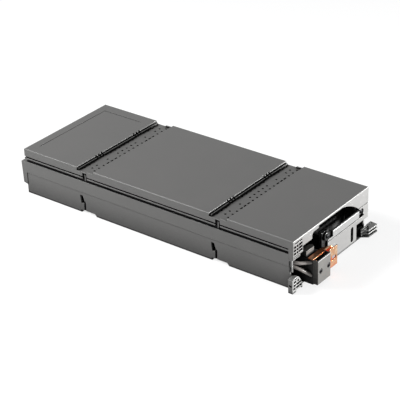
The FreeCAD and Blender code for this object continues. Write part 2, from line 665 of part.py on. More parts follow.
def front_posts():
    """Low lip in front of the blocks, a plate and a rib behind each bar boss, a plate behind each hook."""
    y = LOWER_IN_Y + 1
    x0 = X_POST_FACE - BULKHEAD
    half = BRACKET_R + 2
    walls = [box(X_BULKHEAD, X_BULKHEAD_FACE, -y, y, 0, BULKHEAD_TOP_Z)]
    rear = X_BULKHEAD_FACE - 1
    for boss_y, low_z in ((BRACKET_Y, TRAY_FLOOR), (BOSS_FAR_Y, CORNER_SLIT_LOW_Z)):
        walls.append(box(x0, X_POST_FACE, boss_y - half, boss_y + half, low_z, POST_TOP_Z))
        rib_y = boss_y - BULKHEAD / 2
        gusset = [(rear, 0), (rear + GUSSET_FOOT, 0), (x0 + 1, low_z), (x0 + 1, BOSS_Z), (rear, BOSS_Z)]
        walls.append(prism_y(gusset, rib_y, rib_y + BULKHEAD))
    for side in (-1, 1):
        walls.append(box(x0, X_POST_FACE, side * HOOK_START_Y, side * y, 0, HOOK_PLATE_Z))
    return walls


def make_tray():
    """Lower moulding that carries the blocks, with the front panel and the connector recess."""
    x_rear = X_TRAY_REAR
    body = box(x_rear, X_FRONT, -LOWER_OUT_Y, LOWER_OUT_Y, 0, REBATE_Z)
    body = body.makeFillet(CORNER_ROUND, edges_where(body, lambda p: near(p.z, 0)))
    upper = box(x_rear, X_FRONT, -HALF_WIDTH, HALF_WIDTH, REBATE_Z, TRAY_TOP_Z)
    ledge_low = (x_rear + 1, REAR_LEDGE_LOW)
    ledge_x = X_REAR - REAR_LEDGE_REACH
    ledge = prism_y([ledge_low, (ledge_x + 1.6, REAR_LEDGE_LOW + 2.5), (ledge_x, REAR_LEDGE_TOP),
                     (x_rear + 1, REAR_LEDGE_TOP)], -HALF_WIDTH, HALF_WIDTH)
    ledge = ledge.makeFillet(REAR_LEDGE_ROUND, edges_where(ledge, lambda p: p.x < ledge_x + 1.7))
    tray = joined([body, upper, ledge])

    cuts = []
    cuts.append(box(x_rear + WALL, X_BULKHEAD, -LOWER_IN_Y, LOWER_IN_Y, TRAY_FLOOR, REBATE_Z + WALL))
    inner_y = HALF_WIDTH - WALL
    cuts.append(box(x_rear + WALL, X_PANEL_BACK, -inner_y, inner_y, REBATE_Z + WALL, TRAY_TOP_Z + 1))
    ledge_z = (REAR_LEDGE_LOW + WALL + 2, REAR_LEDGE_TOP - WALL)
    cuts.append(box(ledge_x + WALL, x_rear + WALL + 1, -inner_y, inner_y, ledge_z[0], ledge_z[1]))
    for strip in STRIPS:
        cuts.append(foot_cut(strip, LOWER_IN_Y + FOOT_NOTCH_SKIN, HALF_WIDTH + 1))
        for side in (-1, 1):
            cuts.append(side_slot(strip, side))
    cuts += front_end_cuts(inner_y)
    tray = tray.cut(cuts)

    adds = front_posts()
    foot_y = -LOWER_OUT_Y + FOOT_NOTCH_NEAR_REACH
    for strip in STRIPS:
        adds.append(foot_cut(strip, -LOWER_IN_Y - 0.5, foot_y + FOOT_NOTCH_SKIN, FOOT_NOTCH_SKIN))
    for side in (-1, 1):
        adds.append(box(x_rear + WALL - 1, X_CORNER_BLOCK, side * SPIGOT_IN_Y, side * (inner_y + 1),
                        SPIGOT_LOW_Z - LEDGE_THICK, SPIGOT_LOW_Z))
        for strip in STRIPS:
            x0, x1 = side_notch(strip)
            middle = (x0 + x1) / 2
            y0 = side * (HALF_WIDTH - LATCH_SETBACK)
            top = OVERALL_HEIGHT - LATCH_TOP_DROP
            adds.append(box(middle - LATCH_WIDTH / 2, middle + LATCH_WIDTH / 2, y0, y0 - side * LATCH_THICK,
                            TRAY_TOP_Z - 2, top))
    tray = joined([tray] + adds)
    holes = [screw_hole(point, (1, 0, 0), length) for point, length in bar_screws()]
    holes += [foot_cut(strip, -HALF_WIDTH - 1, foot_y) for strip in STRIPS]
    return tray.cut(holes)


def front_end_cuts(inner_y):
    """Cuts that shape the front panel, the recess for the connector and the near corner."""
    x_out = X_FRONT + 1
    y_out = HALF_WIDTH + 1
    cuts = [box(X_BULKHEAD, X_PANEL_BACK, RECESS_FAR_Y + WALL, inner_y - LOWER_INSET,
                TRAY_FLOOR, REBATE_Z + WALL + 1)]
    cuts.append(box(X_BULKHEAD, x_out, -inner_y, RECESS_FAR_Y, TRAY_FLOOR, TRAY_TOP_Z + 1))
    cuts.append(box(X_BULKHEAD, x_out, RECESS_FAR_Y - 1, RECESS_FAR_Y + WALL + 1,
                    REBATE_Z + FIT, TRAY_TOP_Z + 1))
    near_top = CORNER_BLOCK_LOW_Z - FIT
    cuts.append(box(X_CORNER_BLOCK - FIT, x_out, -y_out, CORNER_BLOCK_FAR_Y + FIT, near_top, TRAY_TOP_Z + 1))
    post_front = X_PANEL_BACK + 0.5
    cuts.append(box(post_front, x_out, -y_out, -inner_y + 1, TRAY_FLOOR, TRAY_TOP_Z + 1))
    slit_front = post_front - CORNER_POST
    cuts.append(box(slit_front - CORNER_SLIT_WIDTH, slit_front, -y_out, -inner_y + 1,
                    CORNER_SLIT_LOW_Z, near_top - 2))
    cuts.append(box(X_POST_FACE, x_out, -y_out, -inner_y + 1, TRAY_FLOOR, CORNER_SLIT_LOW_Z))
    cuts.append(box(X_POST_FACE, x_out, HOOK_POCKET_Y, y_out, TRAY_FLOOR, CORNER_SLIT_LOW_Z))
    cuts.append(box(X_BULKHEAD, X_POST_FACE, HOOK_POCKET_Y, LOWER_IN_Y, TRAY_FLOOR, CORNER_SLIT_LOW_Z))
    cuts.append(opening_prism(X_BULKHEAD, x_out, PANEL_TOP_Z))
    cuts.append(box(X_PANEL_BACK - 1, x_out, -HALF_WIDTH, y_out, FRONT_SEAM_Z, TRAY_TOP_Z + 1))
    access = (X_PANEL_BACK - 1, BOSS_FAR_Y, BOSS_Z)
    cuts.append(cylinder(SCREW_HEAD_R + BOSS_ACCESS, WALL + 2, access, (1, 0, 0)))
    slot_r = PANEL_SLOT_WIDTH / 2
    for z in (PANEL_SLOT_LOW_Z + slot_r, PANEL_SLOT_HIGH_Z - slot_r):
        cuts.append(cylinder(slot_r, WALL + 2, (X_PANEL_BACK - 1, PANEL_SLOT_Y, z), (1, 0, 0)))
    cuts.append(box(X_PANEL_BACK - 1, x_out, PANEL_SLOT_Y - slot_r, PANEL_SLOT_Y + slot_r,
                    PANEL_SLOT_LOW_Z + slot_r, PANEL_SLOT_HIGH_Z - slot_r))
    return cuts


def block_places():
    """Rear face, middle and terminal direction of each block, rear pair first."""
    places = []
    rows = ((X_BLOCKS_REAR, 1), (X_BLOCKS_MIDDLE, -1), (X_BLOCKS_MIDDLE_2, 1), (X_BLOCKS_FRONT, -1))
    for x, facing in rows:
        for y in (NEAR_BLOCK_Y, FAR_BLOCK_Y):
            places.append((x, y, facing))
    return places


def terminal_face(place):
    x, y, facing = place
    return x + BLOCK_HEIGHT if facing > 0 else x


def make_block(place):
    """Sealed block: a case and a slightly smaller lid on the terminal side."""
    x, y, facing = place
    half = BLOCK_WIDTH / 2
    case = box(x, x + BLOCK_HEIGHT, y - half, y + half, BLOCK_LOW_Z, BLOCK_TOP_Z)
    ends = (x, x + BLOCK_HEIGHT)
    rims = edges_where(case, lambda p: near(p.x, ends[0]) or near(p.x, ends[1]))
    case = case.makeFillet(BLOCK_ROUND, rims)
    face = terminal_face(place)
    seam = face - facing * BLOCK_LID_HEIGHT
    ring = box(seam, seam + facing * 1.0, y - half - 1, y + half + 1, BLOCK_LOW_Z - 1, BLOCK_TOP_Z + 1)
    core = box(seam, seam + facing * 1.0, y - half + BLOCK_LID_STEP, y + half - BLOCK_LID_STEP,
               BLOCK_LOW_Z + BLOCK_LID_STEP, BLOCK_TOP_Z - BLOCK_LID_STEP)
    return case.cut(ring.cut(core))


def make_tabs(places):
    """Flat terminal tabs, two on each block."""
    tabs = []
    for place in places:
        face = terminal_face(place)
        for side in (-1, 1):
            y = place[1] + side * TAB_OFFSET
            tabs.append(box(face, face + place[2] * TAB_LENGTH, y - TAB_THICK / 2, y + TAB_THICK / 2,
                            TAB_Z - TAB_WIDTH / 2, TAB_Z + TAB_WIDTH / 2))
    return Part.makeCompound(tabs)


def make_link(place):
    """Flat link across the inner tabs of the two blocks of a pair."""
    x = terminal_face(place) + place[2] * TAB_LENGTH
    y0 = NEAR_BLOCK_Y + TAB_OFFSET - TAB_THICK
    y1 = FAR_BLOCK_Y - TAB_OFFSET + TAB_THICK
    link = box(x, x + place[2] * LINK_THICK, y0, y1, TAB_Z - LINK_HEIGHT / 2, TAB_Z + LINK_HEIGHT / 2)
    return link


def tab_slot(place, y):
    """Room for a tab inside a receptacle."""
    face = terminal_face(place)
    half_y = TAB_THICK / 2
    half_z = TAB_WIDTH / 2 + SLEEVE_EASE
    end = face + place[2] * (TAB_LENGTH + SLEEVE_EASE)
    return box(face, end, y - half_y, y + half_y, TAB_Z - half_z, TAB_Z + half_z)


def receptacle(place, y, length):
    """Insulated receptacle pushed over a tab."""
    face = terminal_face(place)
    x0 = face + place[2] * SLEEVE_EASE
    sleeve = box(x0, face + place[2] * length, y - SLEEVE_WIDTH / 2, y + SLEEVE_WIDTH / 2,
                 TAB_Z - SLEEVE_HEIGHT / 2, TAB_Z + SLEEVE_HEIGHT / 2)
    sleeve = sleeve.makeFillet(1.0, sleeve.Edges)
    return sleeve.cut(tab_slot(place, y))


def bar_screws():
    """Where the screws of the bracket and of the bar bear, and how long they are."""
    bracket = (X_POST_FACE + BRACKET_LENGTH, BRACKET_Y, BRACKET_Z)
    boss = (X_POST_FACE + BOSS_NECK_LENGTH, BOSS_FAR_Y, BOSS_Z)
    return [(bracket, BRACKET_LENGTH + BULKHEAD - 0.5), (boss, BOSS_NECK_LENGTH + BULKHEAD - 0.5)]


def make_grip_bar():
    """Bar across the finger opening, with a lip at its near end and a web and a boss at the far end."""
    x0 = X_FRONT - BAR_THICK
    bar = box(x0, X_FRONT, BAR_NEAR_Y, BAR_FAR_Y, BAR_LOW_Z, BAR_TOP_Z)
    bar = bar.makeFillet(BAR_ROUND, edges_where(bar, lambda p: near(p.z, BAR_TOP_Z)))
    lip = box(x0, X_FRONT, RECESS_FAR_Y, BAR_NEAR_Y + 1, BAR_LOW_Z, BAR_LOW_Z + BAR_LIP_HEIGHT)
    bed = (X_POST_FACE, BRACKET_Y, BRACKET_Z)
    lip = lip.cut(cylinder(BRACKET_R + FIT, BRACKET_LENGTH + 1, bed, (1, 0, 0)))
    boss = cylinder(BOSS_R, BOSS_LENGTH, (X_POST_FACE, BOSS_FAR_Y, BOSS_Z), (1, 0, 0))
    neck = cylinder(BOSS_NECK_R, BOSS_NECK_LENGTH, (X_POST_FACE, BOSS_FAR_Y, BOSS_Z), (1, 0, 0))
    web = box(X_POST_FACE, X_POST_FACE + BOSS_LENGTH, BOSS_FAR_Y, BAR_FAR_Y - BOSS_WEB,
              BOSS_Z - BOSS_WEB, BOSS_Z + BOSS_WEB - 0.5)
    point, length = bar_screws()[1]
    return joined([bar, lip, boss, neck, web]).cut(screw_hole(point, (1, 0, 0), length))


def make_bar_bracket():
    """Bracket on the near post: a plate over the post, a round hub, an arm that meets the bar's near end."""
    hub = cylinder(BRACKET_R, BRACKET_LENGTH, (X_POST_FACE, BRACKET_Y, BRACKET_Z), (1, 0, 0))
    rim = [e for e in hub.Edges if near(e.CenterOfMass.x, X_POST_FACE + BRACKET_LENGTH)]
    hub = hub.makeFillet(1.0, rim)
    arm_z = BAR_LOW_Z + BAR_LIP_HEIGHT + FIT
    arm = box(X_POST_FACE, X_POST_FACE + BOSS_LENGTH, BRACKET_Y, BAR_NEAR_Y, arm_z, BRACKET_Z + 1)
    near_y = BRACKET_Y - BRACKET_R - 2
    low_y = RECESS_FAR_Y - FIT
    far_y = BRACKET_Y + BRACKET_R + 2
    outline = [(near_y, BRACKET_LOW_Z), (low_y, BRACKET_LOW_Z), (low_y, arm_z), (far_y, arm_z)]
    outline += [(far_y, BRACKET_TOP_Z), (near_y, BRACKET_TOP_Z)]
    plate = prism_x(outline, X_POST_FACE, X_POST_FACE + BRACKET_PLATE)
    point, length = bar_screws()[0]
    return joined([plate, hub, arm]).cut(screw_hole(point, (1, 0, 0), length))


def make_far_hook():
    """Far corner hook: a root in its pocket, a back plate and stacked fins that wrap the corner."""
    low = TRAY_FLOOR
    x_plate = X_FRONT + FIT - HOOK_PLATE
    x1 = X_FRONT + HOOK_REACH
    x_back = X_FRONT - HOOK_BACK_X
    top = HOOK_BASE_Z + (HOOK_FINS - 1) * HOOK_FIN_PITCH + HOOK_FIN
    plate_top = top + HOOK_PLATE_RISE
    root_y = HALF_WIDTH - WALL - LOWER_INSET
    pieces = [box(X_POST_FACE, x_plate + 1, root_y - HOOK_ROOT_LENGTH, root_y, low, HOOK_ROOT_HEIGHT)]
    pieces.append(box(x_plate, X_FRONT + FIT, HOOK_START_Y, HOOK_OUTER_Y, low, plate_top))
    plan = [(X_FRONT, HOOK_START_Y), (x1, HOOK_BEND_Y), (x1 + 1, HOOK_OUTER_Y - 1)]
    plan += [(x1, HOOK_OUTER_Y), (x_back, HOOK_OUTER_Y + 1.5), (x_back, HALF_WIDTH + FIT)]
    plan += [(X_FRONT, HALF_WIDTH + FIT)]
    for k in range(HOOK_FINS):
        z0 = HOOK_BASE_Z + k * HOOK_FIN_PITCH
        pieces.append(prism_z(plan, z0, z0 + HOOK_FIN))
    web_y = HOOK_OUTER_Y - 6
    pieces.append(box(X_FRONT, x1 - 0.6, web_y, web_y + HOOK_WEB, HOOK_BASE_Z, top))
    x_in = X_FRONT + FIT
    wall = HOOK_POCKET_WALL
    x_out = x1 - HOOK_RIM
    pocket = [(x_in, HOOK_START_Y + wall), (x_out, HOOK_BEND_Y + 0.9), (x_out, HOOK_BEND_Y + 3.4),
              (x_in, HALF_WIDTH)]
    return joined(pieces).cut(prism_z(pocket, HOOK_BASE_Z + HOOK_FIN, plate_top + 1))


def make_near_hook():
    """Near corner hook: a tall block on the corner, cored from the front and from the side."""
    y0 = CLAW_NEAR_Y
    y1 = CLAW_FAR_Y
    low = HOOK_BASE_Z
    top = CLAW_HEIGHT
    x_back = X_FRONT + FIT
    x1 = X_FRONT + CLAW_REACH
    outline = [(y0, low), (y1, low), (y1, low + 8.5), (y1 - 3.5, low + 13.5), (y1 - 6.5, low + 18)]
    outline += [(y1 - 9, top - 2), (y1 - 12.5, top), (y0 + 5, top), (y0, top - 2)]
    side_y = -HALF_WIDTH - FIT
    side = [(y0, low), (side_y, low), (side_y, top), (y0 + 5, top), (y0, top - 2)]
    root_y = -HALF_WIDTH + WALL + LOWER_INSET
    root = box(X_POST_FACE, x_back + 1, root_y, root_y + HOOK_ROOT_LENGTH, TRAY_FLOOR, HOOK_ROOT_HEIGHT)
    hook = joined([prism_x(outline, x_back, x1), prism_x(side, X_FRONT - CLAW_BACK, x_back + 1), root])
    x_core = x1 - CLAW_CORE
    wide = y0 + CLAW_RIB
    rib = y0 + CLAW_LENGTH * 0.36
    cuts = [box(x_core, x1 + 1, rib, y1 - CLAW_RIB, 0, low + 2.6)]
    for row in (1, 2):
        z0 = low + row * CLAW_ROW - 0.4
        lean = (row - 1) * 0.8
        cuts.append(box(x_core, x1 + 1, wide + lean, rib - CLAW_RIB + lean, z0, z0 + CLAW_ROW - CLAW_RIB))
        cuts.append(box(x_core, x1 + 1, rib + lean, y1 - CLAW_RIB - lean, z0, z0 + CLAW_ROW - CLAW_RIB))
    z0 = low + 3 * CLAW_ROW - 0.4
    cuts.append(box(x_core, x1 + 1, wide + 1.6, rib - CLAW_RIB + 1.6, z0, z0 + CLAW_ROW - CLAW_RIB))
    z0 = low + 4 * CLAW_ROW - 1.0
    cuts.append(box(x_core, x1 + 1, wide + 4.6, rib - CLAW_RIB + 3.2, z0, z0 + 2.0))
    eye = (x_core, rib + 5.2, low + 3 * CLAW_ROW + 1.0)
    cuts.append(cylinder(CLAW_EYE_R, CLAW_CORE + 1, eye, (1, 0, 0)))
    z0 = low + 2 * CLAW_ROW
    cuts.append(box(X_FRONT - CLAW_BACK + 0.8, x1 - 1.2, y0 - 1, y0 + 4, z0, z0 + 3))
    return hook.cut(cuts)


def cap_screw_points():
    """Where the two cap screws bear, on bosses inside the cap."""
    first = CAP_NEAR_Y + CAP_SCREW_INSET
    x = X_CAP_FACE - CAP_SCREW_SINK
    return [(x, y, CAP_SCREW_Z) for y in (first, first + CAP_SCREW_SPAN)]


def make_connector_body():
    """Moulded body on the tray floor, with two rooms for the lugs, open to the front behind the cap."""
    body = box(X_BULKHEAD_FACE, X_CONNECTOR_FACE, BODY_NEAR_Y, CONNECTOR_FAR_Y, TRAY_FLOOR, CONNECTOR_TOP_Z)
    body = body.makeFillet(1.0, edges_where(body, lambda p: near(p.y, CONNECTOR_FAR_Y)))
    x_end = X_CONNECTOR_FACE + 1
    cuts = [box(X_EAR - FIT, x_end, BODY_NEAR_Y + BODY_WALL, EAR_Y, z0, z1)
            for z0, z1 in (UPPER_ROOM_Z, LOWER_ROOM_Z)]
    cuts.append(box(X_EAR - FIT, x_end, EAR_Y - COPPER - SCREW_CLEARANCE, EAR_Y,
                    UPPER_ROOM_Z[1] - 1, CONNECTOR_TOP_Z + 1))
    for turn, mouth, foot in lead_ends():
        start = turn + (mouth - turn) * 0.5
        run = foot - start
        cuts.append(Part.makeCylinder(LEAD_D / 2 + LEAD_HOLE_EASE, run.Length, start, run))
    cuts += [screw_hole(point, (1, 0, 0), CAP_SCREW_LENGTH) for point in cap_screw_points()]
    cuts += [screw_hole(point, (0, -1, 0), LUG_SCREW_LENGTH) for point in lug_screw_points()]
    return body.cut(cuts)


def make_cap():
    """Open-topped cap in front of the body, with a boss and a sunk opening for each of its screws."""
    cap = box(X_CONNECTOR_FACE, X_CAP_FACE, CAP_NEAR_Y, CAP_FAR_Y, CAP_LOW_Z, CAP_TOP_Z)
    cap = cap.makeFillet(0.8, edges_where(cap, lambda p: near(p.x, X_CAP_FACE)))
    inside = box(X_CONNECTOR_FACE - 1, X_CAP_FACE - CAP_WALL, CAP_NEAR_Y + CAP_WALL, CAP_FAR_Y - CAP_WALL,
                 CAP_LOW_Z + CAP_WALL, CAP_TOP_Z + 1)
    cap = cap.cut(inside)
    bosses = []
    holes = []
    for point in cap_screw_points():
        x, y, z = point
        bosses.append(cylinder(CAP_BOSS_R, x + 0.6 - X_CONNECTOR_FACE, (X_CONNECTOR_FACE, y, z), (1, 0, 0)))
        holes.append(cylinder(CAP_HOLE_R, CAP_SCREW_SINK + 1, point, (1, 0, 0)))
        holes.append(screw_hole(point, (1, 0, 0), CAP_SCREW_LENGTH))
    return joined([cap] + bosses).cut(holes)


def lug_screw_points():
    """Where the two lug screws bear, in the rooms of the body."""
    y = EAR_Y - COPPER - LUG_THICK
    return [(X_CONNECTOR_FACE - LUG_SCREW_SETBACK, y, z) for z in LUG_SCREW_Z]


def bent_strip(y0, y1):
    """Strip bent in side view: flat on top, down the rear leg, round a U and up the front leg."""
    z_flat = CONNECTOR_TOP_Z
    x_bend = X_REAR_LEG + COPPER - BEND_R
    z_bend = FLANGE_TOP_Z - BEND_R
    u_out = LEG_GAP / 2 + COPPER
    x_u = X_REAR_LEG + u_out
    z_u = BLADE_LOW_Z + u_out
    x_flat = X_CONNECTOR_FACE - FLANGE_BACK
    top = FLANGE_TOP_Z + BLADE_RISE
    half = math.sqrt(0.5)

    def at(x, z):
        return FreeCAD.Vector(x, y0, z)

    def line(a, b):
        return Part.LineSegment(at(*a), at(*b)).toShape()

    def arc(a, b, c):
        return Part.Arc(at(*a), at(*b), at(*c)).toShape()

    x_leg = X_REAR_LEG + COPPER
    x_front = X_BLADE + COPPER
    inner = BEND_R - COPPER
    edges = [line((x_flat, FLANGE_TOP_Z), (x_bend, FLANGE_TOP_Z))]
    over = (x_bend + BEND_R * half, z_bend + BEND_R * half)
    edges.append(arc((x_bend, FLANGE_TOP_Z), over, (x_leg, z_bend)))
    edges.append(line((x_leg, z_bend), (x_leg, z_u)))
    edges.append(arc((x_leg, z_u), (x_u, z_u - LEG_GAP / 2), (X_BLADE, z_u)))
    edges.append(line((X_BLADE, z_u), (X_BLADE, top)))
    edges.append(line((X_BLADE, top), (x_front, top)))
    edges.append(line((x_front, top), (x_front, z_u)))
    edges.append(arc((x_front, z_u), (x_u, BLADE_LOW_Z), (X_REAR_LEG, z_u)))
    edges.append(line((X_REAR_LEG, z_u), (X_REAR_LEG, z_bend)))
    edges.append(arc((X_REAR_LEG, z_bend), (x_bend + inner * half, z_bend + inner * half), (x_bend, z_flat)))
    edges.append(line((x_bend, z_flat), (x_flat, z_flat)))
    edges.append(line((x_flat, z_flat), (x_flat, FLANGE_TOP_Z)))
    return Part.Face(Part.Wire(edges)).extrude(FreeCAD.Vector(0, y1 - y0, 0))


def make_upper_contact():
    """Copper strip: a flange on the body with an ear for the lug, and a spring clip bent down and up."""
    x0 = X_CONNECTOR_FACE - FLANGE_BACK
    y0 = CONNECTOR_NEAR_Y - COPPER
    flange = box(x0, X_CONNECTOR_FACE, y0, BLADE_NEAR_Y, CONNECTOR_TOP_Z, FLANGE_TOP_Z)
    ear = box(X_EAR, X_CONNECTOR_FACE - FIT, EAR_Y - COPPER, EAR_Y, CONNECTOR_TOP_Z - EAR_HEIGHT,
              CONNECTOR_TOP_Z)
    root = box(x0, X_CONNECTOR_FACE - FIT, EAR_Y - COPPER, EAR_Y, CONNECTOR_TOP_Z - 1, FLANGE_TOP_Z)
    clip = bent_strip(BLADE_NEAR_Y, FLANGE_END_Y)
    x_mid = (X_REAR_LEG + COPPER + X_BLADE) / 2
    taper = [(x0 - 1, REAR_LEG_END_Y - FLANGE_TAPER), (x0, REAR_LEG_END_Y - FLANGE_TAPER)]
    taper += [(X_REAR_LEG + COPPER, REAR_LEG_END_Y), (x_mid, REAR_LEG_END_Y), (x_mid, FLANGE_END_Y + 1)]
    taper += [(x0 - 1, FLANGE_END_Y + 1)]
    contact = joined([flange, root, ear, clip])
    contact = contact.cut(prism_z(taper, 0, FLANGE_TOP_Z + 1))
    half = (BLADE_HOLE_LENGTH - BLADE_HOLE_WIDTH) / 2
    cuts = [box(X_BLADE - 1, X_BLADE + COPPER + 1, BLADE_HOLE_Y - half, BLADE_HOLE_Y + half,
                BLADE_HOLE_Z - BLADE_HOLE_WIDTH / 2, BLADE_HOLE_Z + BLADE_HOLE_WIDTH / 2)]
    for y in (BLADE_HOLE_Y - half, BLADE_HOLE_Y + half):
        cuts.append(cylinder(BLADE_HOLE_WIDTH / 2, COPPER + 2, (X_BLADE - 1, y, BLADE_HOLE_Z), (1, 0, 0)))
    cuts.append(screw_hole(lug_screw_points()[0], (0, -1, 0), LUG_SCREW_LENGTH))
    return contact.cut(cuts)


def make_lower_contact():
    """Copper strip in the lower room of the body, behind the cap."""
    z0 = LOWER_CONTACT_LOW_Z
    strip = box(X_EAR, X_CONNECTOR_FACE - FIT, EAR_Y - COPPER, EAR_Y, z0, z0 + LOWER_CONTACT_HEIGHT)
    return strip.cut(screw_hole(lug_screw_points()[1], (0, -1, 0), LUG_SCREW_LENGTH))


def lead_ends():
    """Turning point, barrel mouth and barrel foot of each lead at the connector."""
    ends = []
    for (x, y, z), z_in in zip(lug_screw_points(), (TAB_Z, LEAD_LOW_Z)):
        turn = FreeCAD.Vector(X_POST_FACE + LEAD_TURN, LEAD_Y, z_in)
        foot = FreeCAD.Vector(x + LUG_FOOT, y, z)
        heading = (foot - turn).normalize()
        ends.append((turn, foot - heading * LUG_BARREL, foot))
    return ends


def make_lugs():
    """Ring lugs under the two lug screws, their barrels towards the leads."""
    lugs = []
    half = LUG_HALF_WIDTH
    for (x, y, z), (_, mouth, foot) in zip(lug_screw_points(), lead_ends()):
        plate = box(x - half, x + LUG_LENGTH, y, y + LUG_THICK, z - half, z + half)
        barrel = Part.makeCylinder(LEAD_D / 2 - 0.4, LUG_BARREL + 3, mouth, foot - mouth)
        barrel = barrel.cut(box(x - 20, x + 20, y + LUG_THICK, y + 10, z - 20, z + 20))
        lugs.append(plate.fuse(barrel).cut(screw_hole((x, y, z), (0, -1, 0), LUG_SCREW_LENGTH)))
    return Part.makeCompound(lugs)


def make_fuse_block():
    """Small block with a rounded end, standing on the connector body."""
    x0 = X_POST_FACE
    y0 = CONNECTOR_NEAR_Y
    block = box(x0, x0 + FUSE_WIDTH, y0, y0 + FUSE_LENGTH, CONNECTOR_TOP_Z, CONNECTOR_TOP_Z + FUSE_HEIGHT)
    far_end = edges_where(block, lambda p: near(p.y, y0 + FUSE_LENGTH))
    upright = [e for e in far_end if near(e.Vertexes[0].X, e.Vertexes[1].X)]
    return block.makeFillet(FUSE_ROUND, upright)


def make_foam(x0, x1):
    """Foam pad between the blocks of a bay and the raised panel."""
    y = SPIGOT_IN_Y - FOAM_MARGIN
    return box(x0 + FOAM_MARGIN, x1 - FOAM_MARGIN, -y, y, BLOCK_TOP_Z, LID_INNER_Z - FOAM_EASE)


def make_leads(places):
    """Routes of the two leads and the three jumpers."""
    rear, middle, middle_2, front = places[0], places[2], places[4], places[6]
    flag = TAB_LENGTH / 2
    tab_y = NEAR_BLOCK_Y - TAB_OFFSET
    exit_y = tab_y - SLEEVE_WIDTH / 2
    x_front = terminal_face(front) - flag
    x_mid_2 = terminal_face(middle_2) + flag
    x_mid = terminal_face(middle) - flag
    x_rear = terminal_face(rear) + flag
    (upper_turn, upper_mouth, _), (lower_turn, lower_mouth, _) = lead_ends()
    leads = {}
    leads["lead_positive"] = [(x_front, exit_y, TAB_Z), (x_front, LEAD_Y, TAB_Z), upper_turn, upper_mouth]
    leads["lead_negative"] = [(x_rear, exit_y, TAB_Z), (x_rear, LEAD_Y, TAB_Z),
                              (x_rear + 40, LEAD_Y, LEAD_LOW_Z), lower_turn, lower_mouth]
    leads["jumper_middle"] = [(x_mid_2, exit_y, TAB_Z), (x_mid_2, LEAD_Y, TAB_Z), (x_mid, LEAD_Y, TAB_Z),
                              (x_mid, exit_y, TAB_Z)]
    return leads


def build():
    places = block_places()
    nodes = {"cover": make_cover(), "tray": make_tray()}
    for number, place in enumerate(places, 1):
        nodes["battery_" + str(number)] = make_block(place)
    nodes["battery_tabs"] = make_tabs(places)
    for number, index in enumerate((0, 2, 4, 6), 1):
        nodes["cell_link_" + str(number)] = make_link(places[index])
    outer_near = NEAR_BLOCK_Y - TAB_OFFSET
    outer_far = FAR_BLOCK_Y + TAB_OFFSET
    flags = [receptacle(places[i], outer_near, TAB_LENGTH + 2) for i in (0, 2, 4, 6)]
    nodes["flag_receptacles"] = Part.makeCompound(flags)
    straights = [receptacle(places[i], outer_far, SLEEVE_LENGTH) for i in (1, 3, 5, 7)]
    nodes["straight_receptacles"] = Part.makeCompound(straights)
    for name, first, second in (("jumper_rear", 1, 3), ("jumper_front", 5, 7)):
        x0 = terminal_face(places[first]) + SLEEVE_LENGTH
        x1 = terminal_face(places[second]) - SLEEVE_LENGTH
        nodes[name] = cylinder(LEAD_D / 2, x1 - x0, (x0, outer_far, TAB_Z), (1, 0, 0))
    for name, points in make_leads(places).items():
        nodes[name] = lead_tube(name, points)
    nodes["foam_pad_rear"] = make_foam(X_BLOCKS_REAR, X_BLOCKS_REAR + BLOCK_HEIGHT)
    nodes["foam_pad_middle"] = make_foam(X_BLOCKS_MIDDLE, X_BLOCKS_MIDDLE_2 + BLOCK_HEIGHT)
    nodes["foam_pad_front"] = make_foam(STRIP_2[1], X_BLOCKS_END)
    nodes["grip_bar"] = make_grip_bar()
    nodes["bar_bracket"] = make_bar_bracket()
    nodes["grip_screws"] = Part.makeCompound([screw(p, (1, 0, 0), length) for p, length in bar_screws()])
    nodes["corner_hook_near"] = make_near_hook()
    nodes["corner_hook_far"] = make_far_hook()
    nodes["connector_body"] = make_connector_body()
    nodes["connector_cap"] = make_cap()
    cap_screws = [screw(p, (1, 0, 0), CAP_SCREW_LENGTH, CAP_SCREW_HEAD_R) for p in cap_screw_points()]
    nodes["connector_screws"] = Part.makeCompound(cap_screws)
    nodes["contact_upper"] = make_upper_contact()
    nodes["contact_lower"] = make_lower_contact()
    nodes["lead_lugs"] = make_lugs()
    lug_screws = [screw(p, (0, -1, 0), LUG_SCREW_LENGTH) for p in lug_screw_points()]
    nodes["lug_screws"] = Part.makeCompound(lug_screws)
    nodes["fuse_block"] = make_fuse_block()
    return nodes


os.makedirs("parts", exist_ok=True)
for node, shape in build().items():
    shape.exportStep(os.path.join("parts", node + ".step"))
    print(node, "solids", len(shape.Solids), "valid", shape.isValid(), "volume", round(shape.Volume))
print("cover", round(COVER_LENGTH, 2), "by", round(COVER_WIDTH, 2), "height", round(OVERALL_HEIGHT, 2))
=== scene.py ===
"""Looks of a rack battery cartridge: its mouldings, copper, leads and screws, and a plain studio."""

import math

import bpy
import numpy as np
from mathutils import Matrix, Vector


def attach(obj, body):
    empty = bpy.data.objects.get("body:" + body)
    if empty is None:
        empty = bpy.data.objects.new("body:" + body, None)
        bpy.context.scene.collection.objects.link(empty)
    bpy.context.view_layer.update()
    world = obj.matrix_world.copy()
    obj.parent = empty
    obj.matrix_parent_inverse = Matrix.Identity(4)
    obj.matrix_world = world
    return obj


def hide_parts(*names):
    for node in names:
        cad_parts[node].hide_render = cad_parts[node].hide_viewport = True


bl_info = {
    "name": "Battery Cartridge Dresser",
    "version": (1, 0, 0),
    "blender": (4, 5, 0),
    "location": "View3D > Sidebar > Cartridge",
    "description": "Gives a rack battery cartridge its materials, screws, stage and camera",
    "category": "Object",
}

